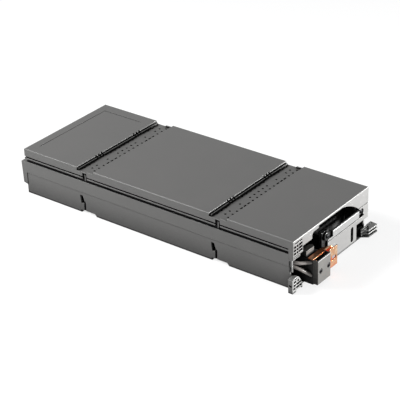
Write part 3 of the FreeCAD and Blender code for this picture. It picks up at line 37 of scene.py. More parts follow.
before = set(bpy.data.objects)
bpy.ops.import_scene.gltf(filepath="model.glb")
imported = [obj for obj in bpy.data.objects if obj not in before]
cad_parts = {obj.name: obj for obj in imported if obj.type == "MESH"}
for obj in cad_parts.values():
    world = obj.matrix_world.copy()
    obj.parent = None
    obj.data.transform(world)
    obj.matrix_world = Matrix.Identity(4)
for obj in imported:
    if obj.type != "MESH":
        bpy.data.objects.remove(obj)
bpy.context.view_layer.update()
MM = 0.001
BODY = "root"

# Reach of the two measures of openness, share of painted shade low on the side walls, look of the
# painted shade in hollows
GROOVE_REACH_MM = 6.0
RECESS_REACH_MM = 60.0
LOW_WALL_PAINTED_SHADE = 0.75
PAINTED_SHADE_COLOUR = "0A0A0A"
PAINTED_SHADE_ROUGHNESS = 0.9
PAINTED_SHADE_SPECULAR = 0.06

# Samples of the rounded normal and of the openness
BEVEL_SAMPLES = 6
OPENNESS_SAMPLES = 8

# How far roughness wanders below and above its middle
PLASTIC_SPREAD = (0.05, 0.05)
METAL_SPREAD = (0.07, 0.1)
RUBBER_SPREAD = (0.08, 0.08)

# Sizes of the patterns that all materials of a kind share: mottling and worn edges of plastic, whose
# paleness is part wear and part painted highlight, tarnish and rolling lines of metal, dust of rubber
MOTTLE_MM = 45
WEAR_AND_HIGHLIGHT_MM = 6
TARNISH_MM = 9
LINE_WIDTH_MM = 0.25
LINE_LENGTH_MM = 14
LINE_DEPTH_MM = 0.02
DUST_MM = 12

# Refractive indices of ABS and nylon, and of silicone and foam
PLASTIC_IOR = 1.54
RUBBER_IOR = 1.41

# Sockets of a colour mix node, whose names are shared by its other data types
MIX_FIRST = 6
MIX_SECOND = 7
MIX_RESULT = 2

# Rings of a screw's surface and the shares of its sizes that make its form
SCREW_COLUMNS = 96
CROWN_RINGS = 40
CROWN_START = 0.02
CROWN_DROP = 0.35
RIM_RINGS = 6
RIM_WAIST = 0.02
RINGS_PER_PITCH = 10
THREAD_DEPTH = 0.44
TIP_LENGTH = 1.2
TIP_LEAST = 0.25
RECESS_EDGE = 0.25
RECESS_RADIUS = 0.58
RECESS_WIDTH = 0.22
RECESS_DEPTH = 0.55

# Floor grid in metres and lines, its paper's fibre per metre, and how much of it shows as pure white
FLOOR_REACH = 6.0
FLOOR_LINES = 9
FIBRE_SCALE = 40.0
FIBRE_SHADE = 0.99
FLOOR_WHITE_SEEN = 0.75
FLOOR_WHITE_MIRRORED = 0.45

# Camera of the photograph, from a fit to the cover's corners. Angles are in radians, the focal length
# and the optical centre in pixels of the 400 pixel wide picture, the distance in lengths of the cover.
PHOTO_AZIMUTH = 0.68020
PHOTO_ELEVATION = 0.49600
PHOTO_ROLL = -0.03970
PHOTO_WIDTH_PX = 400
PHOTO_FOCAL_PX = 1471.5
PHOTO_CENTRE_PX = (191.4575, 189.6698)
PHOTO_DISTANCE = 4.4083
COVER_LENGTH = 0.512
CENTRE_HEIGHT = 0.0395
SENSOR_WIDTH = 36.0
CLIP_END = 50.0

# Step of the node layout in the editor
NODE_STEP = (220, -260)
NODES_PER_ROW = 8


# Colour and node helpers

def srgb(code):
    """Linear colour of an sRGB hex code: c/12.92 below 0.04045, else ((c + 0.055)/1.055)^2.4."""
    parts = [int(code[i:i + 2], 16) / 255 for i in (0, 2, 4)]
    linear = [c / 12.92 if c <= 0.04045 else ((c + 0.055) / 1.055) ** 2.4 for c in parts]
    return (linear[0], linear[1], linear[2], 1.0)


def add(tree, kind, links=None, **settings):
    """Adds one node, sets its attributes or its inputs' values, and links the named inputs."""
    node = tree.nodes.new(kind)
    for name, value in settings.items():
        if hasattr(node, name):
            setattr(node, name, value)
        else:
            node.inputs[name.replace("_", " ")].default_value = value
    for name, source in (links or {}).items():
        tree.links.new(source, node.inputs[name])
    return node


def math_node(tree, operation, first, second=None):
    """Result of one math node on sockets or plain numbers."""
    node = add(tree, "ShaderNodeMath", operation=operation)
    for place, value in enumerate((first, second)):
        if isinstance(value, float):
            node.inputs[place].default_value = value
        elif value is not None:
            tree.links.new(value, node.inputs[place])
    return node.outputs[0]


def remap(tree, value, **limits):
    """A socket's value carried from one range to another and held inside it."""
    return add(tree, "ShaderNodeMapRange", {"Value": value}, **limits).outputs["Result"]


def wander(tree, value, middle, spread):
    """A roughness that goes with a pattern's value from below its middle to above it."""
    return remap(tree, value, To_Min=middle - spread[0], To_Max=middle + spread[1])


def blend(tree, factor, first, second):
    """Mix of two colours, each a linear colour or a colour socket, by a factor socket."""
    node = add(tree, "ShaderNodeMix", {"Factor": factor}, data_type="RGBA")
    for place, colour in ((MIX_FIRST, first), (MIX_SECOND, second)):
        if isinstance(colour, tuple):
            node.inputs[place].default_value = colour
        else:
            tree.links.new(colour, node.inputs[place])
    return node.outputs[MIX_RESULT]


def noise(tree, where, scale, **settings):
    """Value of a noise pattern with a scale per metre."""
    return add(tree, "ShaderNodeTexNoise", {"Vector": where}, Scale=scale, **settings).outputs["Fac"]


def new_material(name):
    """Empty node material, the tree to fill, and its object coordinates."""
    material = bpy.data.materials.new(name)
    material.use_nodes = True
    tree = material.node_tree
    tree.nodes.clear()
    return material, tree, add(tree, "ShaderNodeTexCoord").outputs["Object"]


def finish_material(tree, shader):
    """Links the shader to the output and lays the nodes out in rows."""
    add(tree, "ShaderNodeOutputMaterial", {"Surface": shader})
    for index, node in enumerate(tree.nodes):
        row, column = divmod(index, NODES_PER_ROW)
        node.location = (NODE_STEP[0] * column, NODE_STEP[1] * row)


def edge_mask(tree, radius):
    """Normal rounded over an edge, and a mask that is 1 where that normal leaves the face's own."""
    rounded = add(tree, "ShaderNodeBevel", samples=BEVEL_SAMPLES, Radius=radius).outputs[0]
    facet = add(tree, "ShaderNodeNewGeometry").outputs["Normal"]
    dot = add(tree, "ShaderNodeVectorMath", {0: rounded, 1: facet}, operation="DOT_PRODUCT")
    return rounded, remap(tree, dot.outputs["Value"], From_Min=0.99, From_Max=0.75)


def open_sky(tree, reach_mm):
    """Share of the sky that a point sees within a reach: 1 on open faces, near 0 deep in a hole."""
    node = add(tree, "ShaderNodeAmbientOcclusion", samples=OPENNESS_SAMPLES, Distance=reach_mm * MM)
    return node.outputs["AO"]


def painted_shade_mask(tree):
    """Mask of painted shade: 0 on open faces, 1 in grooves, holes and recesses, and on the side walls
    rising towards the bottom up to the low wall share.
    """
    groove = remap(tree, open_sky(tree, GROOVE_REACH_MM), From_Min=0.94, From_Max=0.7)
    wide = open_sky(tree, RECESS_REACH_MM)
    recess = remap(tree, wide, From_Min=0.5, From_Max=0.2)
    low = remap(tree, wide, From_Min=0.85, From_Max=0.35, To_Max=LOW_WALL_PAINTED_SHADE)
    normal = add(tree, "ShaderNodeNewGeometry").outputs["Normal"]
    across = add(tree, "ShaderNodeSeparateXYZ", {"Vector": normal}).outputs["Y"]
    wall = math_node(tree, "MULTIPLY", low, math_node(tree, "ABSOLUTE", across))
    return math_node(tree, "MAXIMUM", math_node(tree, "MAXIMUM", groove, recess), wall)


# Kinds of material. Lengths are in millimetres, colours are sRGB hex codes.

def moulded_plastic(name, dark, light, edge, roughness, grain_mm, grain_depth_mm, round_mm,
                    specular=0.5):
    """Moulded plastic: mould grain as bump, slow mottling, paler edges that are part wear and part
    painted highlight, near black painted shade in hollows.
    """
    material, tree, where = new_material(name)
    mottle = noise(tree, where, 1 / (MOTTLE_MM * MM), Detail=4.0, Roughness=0.6)
    tone = blend(tree, mottle, srgb(dark), srgb(light))
    normal, mask = edge_mask(tree, round_mm * MM)
    # Paler edges: part wear, part painted highlight
    wear_and_highlight = math_node(tree, "MULTIPLY", mask, noise(tree, where, 1 / (WEAR_AND_HIGHLIGHT_MM * MM), Detail=3.0))
    # Painted shade: near black colour, more roughness and less specular in grooves, holes, recesses and
    # low on the side walls
    deep = painted_shade_mask(tree)
    colour = blend(tree, deep, blend(tree, wear_and_highlight, tone, srgb(edge)), srgb(PAINTED_SHADE_COLOUR))
    grain = noise(tree, where, 1 / (grain_mm * MM), Detail=2.0)
    bump = add(tree, "ShaderNodeBump", {"Height": grain, "Normal": normal},
               Strength=0.35, Distance=grain_depth_mm * MM)
    gloss = wander(tree, mottle, roughness, PLASTIC_SPREAD)
    dull = add(tree, "ShaderNodeMix", {"Factor": deep, "A": gloss}, B=PAINTED_SHADE_ROUGHNESS)
    shine = remap(tree, deep, To_Min=specular, To_Max=PAINTED_SHADE_SPECULAR)
    shader = add(tree, "ShaderNodeBsdfPrincipled",
                 {"Base Color": colour, "Normal": bump.outputs[0], "Roughness": dull.outputs[0],
                  "Specular IOR Level": shine}, IOR=PLASTIC_IOR)
    finish_material(tree, shader.outputs[0])
    return material


def sheet_metal(name, pale, deep, roughness, line_axis, round_mm, painted_reflection=None):
    """Rolled or plated metal: fine lines along one axis in bump and roughness, tarnish in the colour.

    A painted reflection colour, where given, takes over on faces that see little of the sky: a
    saturated orange for copper that reflects its own shade.
    """
    material, tree, where = new_material(name)
    stretch = [1 / (LINE_WIDTH_MM * MM)] * 3
    stretch[line_axis] = 1 / (LINE_LENGTH_MM * MM)
    lines = add(tree, "ShaderNodeMapping", {"Vector": where})
    lines.inputs["Scale"].default_value = stretch
    brushed = noise(tree, lines.outputs[0], 1.0, Detail=2.0)
    tarnish = noise(tree, where, 1 / (TARNISH_MM * MM), Detail=5.0, Roughness=0.62)
    spread = remap(tree, tarnish, From_Min=0.35, From_Max=0.7)
    colour = blend(tree, spread, srgb(pale), srgb(deep))
    # Painted reflection: saturated orange on copper faces that see little of the sky
    if painted_reflection:
        painted_reflection_mask = remap(tree, open_sky(tree, RECESS_REACH_MM), From_Min=0.75, From_Max=0.4)
        colour = blend(tree, painted_reflection_mask, colour, srgb(painted_reflection))
    normal, _ = edge_mask(tree, round_mm * MM)
    bump = add(tree, "ShaderNodeBump", {"Height": brushed, "Normal": normal},
               Strength=0.25, Distance=LINE_DEPTH_MM * MM)
    gloss = wander(tree, brushed, roughness, METAL_SPREAD)
    shader = add(tree, "ShaderNodeBsdfPrincipled",
                 {"Base Color": colour, "Normal": bump.outputs[0], "Roughness": gloss}, Metallic=1.0)
    finish_material(tree, shader.outputs[0])
    return material


def rubber_like(name, dark, light, roughness, cell_mm, depth_mm):
    """Extruded insulation or cut foam: small cells as bump, dust in the colour, no polish."""
    material, tree, where = new_material(name)
    cells = add(tree, "ShaderNodeTexVoronoi", {"Vector": where}, Scale=1 / (cell_mm * MM),
                feature="SMOOTH_F1")
    dust = noise(tree, where, 1 / (DUST_MM * MM), Detail=4.0)
    bump = add(tree, "ShaderNodeBump", {"Height": cells.outputs["Distance"]},
               Strength=0.4, Distance=depth_mm * MM)
    gloss = wander(tree, dust, roughness, RUBBER_SPREAD)
    shader = add(tree, "ShaderNodeBsdfPrincipled",
                 {"Base Color": blend(tree, dust, srgb(dark), srgb(light)),
                  "Normal": bump.outputs[0], "Roughness": gloss}, IOR=RUBBER_IOR)
    finish_material(tree, shader.outputs[0])
    return material


def dress(node_names, material):
    """Puts a material into every slot of the named CAD nodes."""
    for name in node_names:
        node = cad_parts[name]
        if not node.material_slots:
            node.data.materials.append(material)
        for place in node.material_slots:
            place.material = material


def nodes_called(start):
    """Names of the CAD nodes that begin with a word, less the tabs, which have a metal of their own."""
    return [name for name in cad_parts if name.startswith(start) and name != "battery_tabs"]


# Surfaces worked out with numpy

def grid_mesh(name, points, smooth_angle=35.0):
    """Closed surface from a (rows, columns, 3) array that wraps along its columns, with end caps."""
    rows, columns, _ = points.shape
    index = np.arange(rows * columns).reshape(rows, columns)
    nxt = np.roll(index, -1, axis=1)
    quads = np.stack([index[:-1], nxt[:-1], nxt[1:], index[1:]], axis=-1).reshape(-1, 4)
    faces = [tuple(q) for q in quads.tolist()]
    faces.append(tuple(index[0][::-1].tolist()))
    faces.append(tuple(index[-1].tolist()))
    mesh = bpy.data.meshes.new(name)
    mesh.from_pydata(points.reshape(-1, 3).tolist(), [], faces)
    mesh.polygons.foreach_set("use_smooth", np.ones(len(mesh.polygons), bool))
    mesh.set_sharp_from_angle(angle=math.radians(smooth_angle))
    mesh.update()
    return mesh


def pan_head_screw(length, head_r, head_h, shank_r, pitch):
    """Screw along +Z with its head's base at 0.

    The head's top is the crown h(r) = head_h*(1 - CROWN_DROP*(r/R)^2) less the cross recess, whose
    depth is taken times a soft step of the distance to the nearer of two crossed bars. Below the head
    the radius is shank_r less a triangle wave of z/pitch - angle/(2*pi), which makes the thread.
    """
    recess_r = RECESS_RADIUS * head_r
    recess_w = RECESS_WIDTH * head_r
    recess_depth = RECESS_DEPTH * head_h
    angle = np.linspace(0, 2 * np.pi, SCREW_COLUMNS, endpoint=False)[None, :]
    r_top = np.linspace(CROWN_START, 1.0, CROWN_RINGS)[:, None] * head_r
    x = r_top * np.cos(angle)
    y = r_top * np.sin(angle)
    bar = np.minimum(np.abs(x), np.abs(y)) - recess_w / 2
    reach = r_top - recess_r + 0 * angle
    inside = np.clip(0.5 - np.maximum(bar, reach) / (RECESS_EDGE * recess_w), 0, 1)
    z = head_h * (1 - CROWN_DROP * (r_top / head_r) ** 2) + 0 * angle - recess_depth * inside
    top = np.stack([x, y, z], axis=-1)
    rim = np.linspace(0, 1, RIM_RINGS)[1:, None]
    rim_z = head_h * (1 - CROWN_DROP) * (1 - rim) + 0 * angle
    rim_r = head_r * (1 - RIM_WAIST * np.sin(np.pi * rim)) + 0 * angle
    side = np.stack([rim_r * np.cos(angle), rim_r * np.sin(angle), rim_z], axis=-1)
    down = np.linspace(0, -length, int(length / pitch * RINGS_PER_PITCH))[:, None]
    wave = np.abs(((down / pitch - angle / (2 * np.pi)) % 1.0) * 2 - 1)
    taper = np.clip((down + length) / (TIP_LENGTH * pitch), TIP_LEAST, 1.0)
    radius = (shank_r - THREAD_DEPTH * pitch * wave * np.clip(-down / pitch, 0, 1)) * taper
    shank = np.stack([radius * np.cos(angle), radius * np.sin(angle), down + 0 * angle], axis=-1)
    return np.concatenate([top, side, shank], axis=0)[::-1]


def place_points(points, origin, outward):
    """Turns points from +Z to an outward direction and moves them to an origin."""
    turn = np.array(Vector((0, 0, 1)).rotation_difference(Vector(outward)).to_matrix())
    return points @ turn.T + np.array(origin)


def screws_of(node, outward, spread, head_h):
    """Origin, head radius and thread length of each screw of a CAD pair, measured in its mesh."""
    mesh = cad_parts[node].data
    points = np.empty(len(mesh.vertices) * 3)
    mesh.vertices.foreach_get("co", points)
    points = points.reshape(-1, 3)
    axis = int(np.argmax(np.abs(outward)))
    sign = outward[axis]
    middle = (points[:, spread].min() + points[:, spread].max()) / 2
    found = []
    for group in (points[points[:, spread] < middle], points[points[:, spread] >= middle]):
        low, high = group.min(axis=0), group.max(axis=0)
        tip, back = (high[axis], low[axis]) if sign > 0 else (low[axis], high[axis])
        origin = (low + high) / 2
        origin[axis] = tip - sign * head_h
        found.append((origin, (high[spread] - low[spread]) / 2, abs(origin[axis] - back)))
    return found


def screw_pair(node, name, outward, spread, material):
    """Two detailed screws in place of a CAD pair, inside the space that the pair takes."""
    settings = bpy.context.scene.cartridge_screws
    head_h = settings.head_height
    for number, screw in enumerate(screws_of(node, outward, spread, head_h), 1):
        origin, head_r, length = screw
        points = pan_head_screw(length, head_r, head_h, settings.shank_radius, settings.thread_pitch)
        mesh = grid_mesh(name, place_points(points, origin, outward))
        piece = bpy.data.objects.new(name + "_" + str(number), mesh)
        bpy.context.scene.collection.objects.link(piece)
        piece.data.materials.append(material)
        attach(piece, BODY)
        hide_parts(node)


# User settings

class CartridgePlastic(bpy.types.PropertyGroup):
    roughness: bpy.props.FloatProperty(
        name="Roughness", description="Roughness of the moulded shells",
        default=0.42, min=0.0, max=1.0, subtype="FACTOR")
    grain: bpy.props.FloatProperty(
        name="Grain", description="Width of the mould grain",
        default=0.55 * MM, min=0.1 * MM, max=3.0 * MM, unit="LENGTH", precision=5)
    edge_round: bpy.props.FloatProperty(
        name="Edge round", description="Shaded round on hard edges",
        default=0.75 * MM, min=0.05 * MM, max=2.0 * MM, unit="LENGTH", precision=5)


class CartridgeScrews(bpy.types.PropertyGroup):
    head_height: bpy.props.FloatProperty(
        name="Head height", description="Height of a screw head",
        default=2.0 * MM, unit="LENGTH", precision=4)
    shank_radius: bpy.props.FloatProperty(
        name="Shank radius", description="Outer radius of the thread",
        default=1.5 * MM, unit="LENGTH", precision=4)
    thread_pitch: bpy.props.FloatProperty(
        name="Thread pitch", description="Distance between threads",
        default=0.7 * MM, unit="LENGTH", precision=4)


class CartridgeStage(bpy.types.PropertyGroup):
    key_light: bpy.props.FloatProperty(
        name="Key light", description="Power of the low lamp at the connector end",
        default=290.0, min=0.0, unit="POWER")
    side_light: bpy.props.FloatProperty(
        name="Side light", description="Power of the lamp at the lead side",
        default=14.0, min=0.0, unit="POWER")
    rim_light: bpy.props.FloatProperty(
        name="Rim light", description="Power of the high lamp behind the lead side",
        default=44.0, min=0.0, unit="POWER")
    sky: bpy.props.FloatProperty(
        name="Sky", description="Strength of the even light from all round",
        default=0.35, min=0.0, subtype="FACTOR")
    floor_colour: bpy.props.FloatVectorProperty(
        name="Floor", description="Colour of the floor", size=3,
        default=(0.9, 0.9, 0.9), min=0.0, max=1.0, subtype="COLOR")


# Operators, one for each piece or group of like pieces

class CARTRIDGE_OT_shells(bpy.types.Operator):
    """Textured black ABS on the cover and the tray"""
    bl_idname = "cartridge.shells"
    bl_label = "Cover and tray"

    def execute(self, context):
        settings = context.scene.cartridge_plastic
        # Gives the eye a satin charcoal with slow mottling, pale edges that are part wear and part
        # painted highlight, and near black painted shade in grooves, recesses and low on the side
        # walls. Real mould grain is about 0.1 mm across. It is drawn coarser, at 0.55 mm, as one pixel
        # of the photo's view spans 1.6 mm.
        shell = moulded_plastic(
            "abs_textured_charcoal", dark="3E3E3D", light="494847", edge="848380",
            roughness=settings.roughness, grain_mm=settings.grain / MM, grain_depth_mm=0.05,
            round_mm=settings.edge_round / MM)
        dress(["cover", "tray"], shell)
        return {"FINISHED"}


class CARTRIDGE_OT_small_mouldings(bpy.types.Operator):
    """Smoother black ABS on the grip bar, hooks and connector"""
    bl_idname = "cartridge.small_mouldings"
    bl_label = "Grip, hooks and connector"

    def execute(self, context):
        # Gives the bar a smoother shine than the shells and a paler colour, which is painted light, so
        # that it reads as a bright stripe. Its grain and those below are drawn coarser than the real
        # 0.1 mm, as on the shells.
        dress(["grip_bar"], moulded_plastic(
            "abs_fine_black", dark="4A4A4A", light="555554", edge="6A6967",
            roughness=0.34, grain_mm=0.4, grain_depth_mm=0.03, round_mm=0.5))
        # Gives the hooks a grey paler than the shells', which is painted light, pale fin edges as
        # painted highlight, and black pockets between the fins as painted shade.
        dress(["corner_hook_near", "corner_hook_far"], moulded_plastic(
            "abs_ribbed_grey", dark="4E4E4D", light="585857", edge="A8A7A3",
            roughness=0.36, grain_mm=0.4, grain_depth_mm=0.03, round_mm=0.6))
        # Gives the bracket a wet looking black with small sharp highlights. Its near black colour and
        # lowered specular level are painted shade of the recess the bracket stands in.
        dress(["bar_bracket"], moulded_plastic(
            "nylon_glossy_black", dark="050505", light="090909", edge="141414",
            roughness=0.22, grain_mm=0.6, grain_depth_mm=0.004, round_mm=0.4, specular=0.22))
        # Gives the cap and the fuse block a warm black that is matter than the bracket. It is darker
        # than the shells' black, which paints shade on the fuse block's front and the cap's sides.
        dress(["connector_cap", "fuse_block"], moulded_plastic(
            "glass_filled_black", dark="272624", light="302F2C", edge="444340",
            roughness=0.4, grain_mm=0.35, grain_depth_mm=0.03, round_mm=0.4))
        # Gives the connector's inside the deepest black, painted shade of the cap's hollow, so that the
        # copper and the leads stand out.
        dress(["connector_body"], moulded_plastic(
            "glass_filled_dull_black", dark="0C0C0B", light="121211", edge="1C1C1B",
            roughness=0.6, grain_mm=0.35, grain_depth_mm=0.03, round_mm=0.3))
        return {"FINISHED"}


class CARTRIDGE_OT_batteries(bpy.types.Operator):
    """Dark battery cases, their tabs and links, and the foam that holds them down"""
    bl_idname = "cartridge.batteries"
    bl_label = "Battery blocks"

    def execute(self, context):
        # Gives the hidden blocks a plain dull black case, with a grain coarser than the real one. Its
        # near black is partly painted shade, which keeps the finger opening dark.
        dress(nodes_called("battery_"), moulded_plastic(
            "abs_battery_case", dark="141415", light="19191A", edge="222223",
            roughness=0.6, grain_mm=0.8, grain_depth_mm=0.05, round_mm=0.5))
        # Gives the tabs a pale, faintly yellow metal with fine rolling lines.
        dress(["battery_tabs"], sheet_metal(
            "tinned_brass_sheet", pale="C9C2AE", deep="AFA68C",
            roughness=0.34, line_axis=0, round_mm=0.1))
        # Gives the links a cooler, silvery metal than the tabs.
        dress(nodes_called("cell_link_"), sheet_metal(
            "tinned_copper_strip", pale="C8C4BC", deep="A9A297",
            roughness=0.32, line_axis=1, round_mm=0.15))
        # Gives the pads a lightless black with visible cells of 1.2 mm, as real foam has.
        dress(nodes_called("foam_pad_"), rubber_like(
            "closed_cell_foam", dark="1A1A1B", light="262627",
            roughness=0.9, cell_mm=1.2, depth_mm=0.4))
        return {"FINISHED"}


class CARTRIDGE_OT_leads(bpy.types.Operator):
    """Silicone insulation on the leads and nylon on the push-on sleeves"""
    bl_idname = "cartridge.leads"
    bl_label = "Leads and sleeves"

    def execute(self, context):
        # Gives the leads a soft dark grey with a long highlight along the tube. Its skin is drawn at
        # 0.5 mm, coarser than the real one. The lugs look as if sleeved in the same stuff.
        insulation = rubber_like(
            "silicone_insulation", dark="5C5855", light="6B6764",
            roughness=0.3, cell_mm=0.5, depth_mm=0.03)
        dress(["lead_positive", "lead_negative", "lead_lugs"] + nodes_called("jumper_"), insulation)
        # Gives the push-on sleeves a half dull black that parts them from the case.
        dress(["flag_receptacles", "straight_receptacles"], moulded_plastic(
            "nylon_sleeve", dark="1B1B1C", light="222223", edge="3C3C3D",
            roughness=0.45, grain_mm=0.5, grain_depth_mm=0.02, round_mm=0.3))
        return {"FINISHED"}


class CARTRIDGE_OT_contacts(bpy.types.Operator):
    """Bare rolled copper on the two contacts"""
    bl_idname = "cartridge.contacts"
    bl_label = "Copper contacts"

    def execute(self, context):
        # Gives the one warm colour of the object: pale rubbed copper on the open blade, a painted
        # reflection of saturated orange where it lies in shade, and lines along the strip. Real rolling
        # lines are finer than 0.1 mm. They are drawn 0.25 mm wide, so that they show at all.
        dress(["contact_upper", "contact_lower"], sheet_metal(
            "rolled_copper", pale="B0977C", deep="9C6440", painted_reflection="D76C33",
            roughness=0.27, line_axis=1, round_mm=0.35))
        return {"FINISHED"}


class CARTRIDGE_OT_screws(bpy.types.Operator):
    """Pan head screws with a cross recess and a thread"""
    bl_idname = "cartridge.screws"
    bl_label = "Screws"

    def execute(self, context):
        # Gives the screws a dark metal with soft highlights, unlike the plastic round them.
        black = sheet_metal(
            "black_oxide_steel", pale="111112", deep="0A0A0B",
            roughness=0.38, line_axis=2, round_mm=0.1)
        screw_pair("grip_screws", "grip_screw", (1, 0, 0), 1, black)
        screw_pair("connector_screws", "connector_screw", (1, 0, 0), 1, black)
        screw_pair("lug_screws", "lug_screw", (0, -1, 0), 2, black)
        return {"FINISHED"}


class CARTRIDGE_OT_stage(bpy.types.Operator):
    """White floor and background, lamps, and the camera at the photograph's angle"""
    bl_idname = "cartridge.stage"
    bl_label = "Stage"

    def execute(self, context):
        scene = context.scene
        settings = scene.cartridge_stage
        self.floor(scene, settings)
        self.background(scene, settings)
        self.lamp(scene, "key_lamp", settings.key_light, size=(0.9, 0.22),
                  place=(1.93, 1.11, 0.13), aim=(0.1, 0.0, 0.04))
        self.lamp(scene, "side_lamp", settings.side_light, size=(1.6, 0.7),
                  place=(-0.4, -1.9, 0.55), aim=(0.0, 0.0, 0.04))
        self.lamp(scene, "rim_lamp", settings.rim_light, size=(0.6, 0.35),
                  place=(-0.99, -0.86, 1.22), aim=(0.0, 0.0, 0.04))
        self.camera(scene)
        scene.view_settings.view_transform = "Standard"
        return {"FINISHED"}

    def floor(self, scene, settings):
        """Flat square grid z = 0 that reaches far past the view."""
        line = np.linspace(-FLOOR_REACH, FLOOR_REACH, FLOOR_LINES)
        x, y = np.meshgrid(line, line)
        points = np.stack([x, y, 0 * x], axis=-1).reshape(-1, 3)
        index = np.arange(FLOOR_LINES ** 2).reshape(FLOOR_LINES, FLOOR_LINES)
        corners = [index[:-1, :-1], index[:-1, 1:], index[1:, 1:], index[1:, :-1]]
        quads = np.stack(corners, axis=-1).reshape(-1, 4)
        mesh = bpy.data.meshes.new("floor")
        mesh.from_pydata(points.tolist(), [], [tuple(q) for q in quads.tolist()])
        mesh.materials.append(self.paper(settings.floor_colour))
        piece = bpy.data.objects.new("floor", mesh)
        scene.collection.objects.link(piece)

    def paper(self, base):
        """Diffuse paper that is mixed with pure white where the camera or a mirror ray meets it."""
        # Gives a white floor that keeps the contact shadow and shows no grain.
        material, tree, where = new_material("matt_white_paper")
        fibre = noise(tree, where, FIBRE_SCALE, Detail=3.0)
        plain = (base[0], base[1], base[2], 1.0)
        shaded = (base[0] * FIBRE_SHADE, base[1] * FIBRE_SHADE, base[2] * FIBRE_SHADE, 1.0)
        tint = blend(tree, fibre, plain, shaded)
        diffuse = add(tree, "ShaderNodeBsdfDiffuse", {"Color": tint}).outputs[0]
        white = add(tree, "ShaderNodeEmission", Strength=1.0).outputs[0]
        ray = add(tree, "ShaderNodeLightPath").outputs
        mirror = math_node(tree, "MAXIMUM", ray["Is Glossy Ray"], ray["Is Transmission Ray"])
        mirrored = math_node(tree, "MULTIPLY", mirror, FLOOR_WHITE_MIRRORED)
        seen = math_node(tree, "MULTIPLY", ray["Is Camera Ray"], FLOOR_WHITE_SEEN)
        share = math_node(tree, "MAXIMUM", mirrored, seen)
        mixed = add(tree, "ShaderNodeMixShader", {0: share, 1: diffuse, 2: white})
        finish_material(tree, mixed.outputs[0])
        return material

    def background(self, scene, settings):
        """World that shows white and lights softly."""
        world = bpy.data.worlds.new("studio")
        scene.world = world
        world.use_nodes = True
        tree = world.node_tree
        tree.nodes.clear()
        ray = add(tree, "ShaderNodeLightPath").outputs
        direct = math_node(tree, "MAXIMUM", ray["Is Camera Ray"], ray["Is Glossy Ray"])
        seen = math_node(tree, "MAXIMUM", direct, ray["Is Transmission Ray"])
        soft = add(tree, "ShaderNodeBackground", Color=srgb("E6E8EA"), Strength=settings.sky)
        white = add(tree, "ShaderNodeBackground", Color=(1.0, 1.0, 1.0, 1.0), Strength=1.0)
        mixed = add(tree, "ShaderNodeMixShader", {0: seen, 1: soft.outputs[0], 2: white.outputs[0]})
        add(tree, "ShaderNodeOutputWorld", {"Surface": mixed.outputs[0]})

    def lamp(self, scene, name, power, size, place, aim):
        """Rectangular soft lamp that points from its place to its aim."""
        light = bpy.data.lights.new(name, "AREA")
        light.shape = "RECTANGLE"
        light.size, light.size_y = size
        light.energy = power
        piece = bpy.data.objects.new(name, light)
        turn = (Vector(aim) - Vector(place)).to_track_quat("-Z", "Y").to_matrix().to_4x4()
        piece.matrix_world = Matrix.Translation(place) @ turn
        scene.collection.objects.link(piece)

    def camera(self, scene):
        """Long lens at the photograph's azimuth, elevation and roll."""
        level = math.cos(PHOTO_ELEVATION)
        away = Vector((math.sin(PHOTO_AZIMUTH) * level, -math.cos(PHOTO_AZIMUTH) * level,
                       math.sin(PHOTO_ELEVATION)))
        side = Vector((math.cos(PHOTO_AZIMUTH), math.sin(PHOTO_AZIMUTH), 0.0))
        over = away.cross(side)
        right = side * math.cos(PHOTO_ROLL) + over * math.sin(PHOTO_ROLL)
        up = over * math.cos(PHOTO_ROLL) - side * math.sin(PHOTO_ROLL)
        data = bpy.data.cameras.new("photo_camera")
        data.sensor_width = SENSOR_WIDTH
        data.lens = PHOTO_FOCAL_PX / PHOTO_WIDTH_PX * SENSOR_WIDTH
        data.shift_x = (PHOTO_WIDTH_PX / 2 - PHOTO_CENTRE_PX[0]) / PHOTO_WIDTH_PX
        data.shift_y = (PHOTO_CENTRE_PX[1] - PHOTO_WIDTH_PX / 2) / PHOTO_WIDTH_PX
        data.clip_end = CLIP_END
        piece = bpy.data.objects.new("photo_camera", data)
        turn = Matrix((right, up, away)).transposed().to_4x4()
        place = away * PHOTO_DISTANCE * COVER_LENGTH + Vector((0, 0, CENTRE_HEIGHT))
        piece.matrix_world = Matrix.Translation(place) @ turn
        scene.collection.objects.link(piece)
        scene.camera = piece


class CARTRIDGE_PT_panel(bpy.types.Panel):
    """Lists the pieces and the settings they use"""
    bl_idname = "CARTRIDGE_PT_panel"
    bl_label = "Battery cartridge"
    bl_space_type = "VIEW_3D"
    bl_region_type = "UI"
    bl_category = "Cartridge"

    def draw(self, context):
        for name, group in GROUPS:
            for setting in group.__annotations__:
                self.layout.prop(getattr(context.scene, name), setting)
        for operator in OPERATORS:
            self.layout.operator(operator.bl_idname)


OPERATORS = (CARTRIDGE_OT_stage, CARTRIDGE_OT_shells, CARTRIDGE_OT_small_mouldings,
             CARTRIDGE_OT_batteries, CARTRIDGE_OT_leads, CARTRIDGE_OT_contacts, CARTRIDGE_OT_screws)
GROUPS = (("cartridge_plastic", CartridgePlastic), ("cartridge_screws", CartridgeScrews),
          ("cartridge_stage", CartridgeStage))


def register():
    """Registers the settings, the operators and the panel."""
    for name, group in GROUPS:
        bpy.utils.register_class(group)
        setattr(bpy.types.Scene, name, bpy.props.PointerProperty(type=group))
    for operator in OPERATORS:
        bpy.utils.register_class(operator)
    bpy.utils.register_class(CARTRIDGE_PT_panel)


def unregister():
    """Takes away what register added, in the opposite order."""
    bpy.utils.unregister_class(CARTRIDGE_PT_panel)
    for operator in reversed(OPERATORS):
        bpy.utils.unregister_class(operator)
    for name, group in reversed(GROUPS):
        delattr(bpy.types.Scene, name)
        bpy.utils.unregister_class(group)


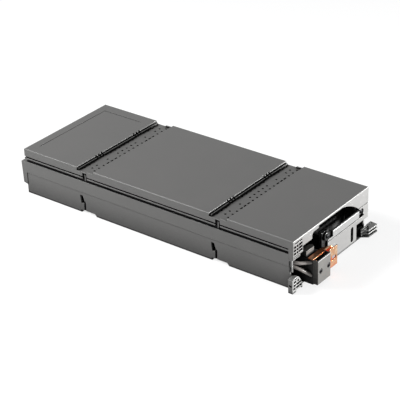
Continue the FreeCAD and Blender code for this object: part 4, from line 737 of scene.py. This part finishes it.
def main():
    """Builds every piece in order."""
    register()
    bpy.ops.cartridge.stage()
    bpy.ops.cartridge.shells()
    bpy.ops.cartridge.small_mouldings()
    bpy.ops.cartridge.batteries()
    bpy.ops.cartridge.leads()
    bpy.ops.cartridge.contacts()
    bpy.ops.cartridge.screws()


if __name__ == "__main__":
    main()
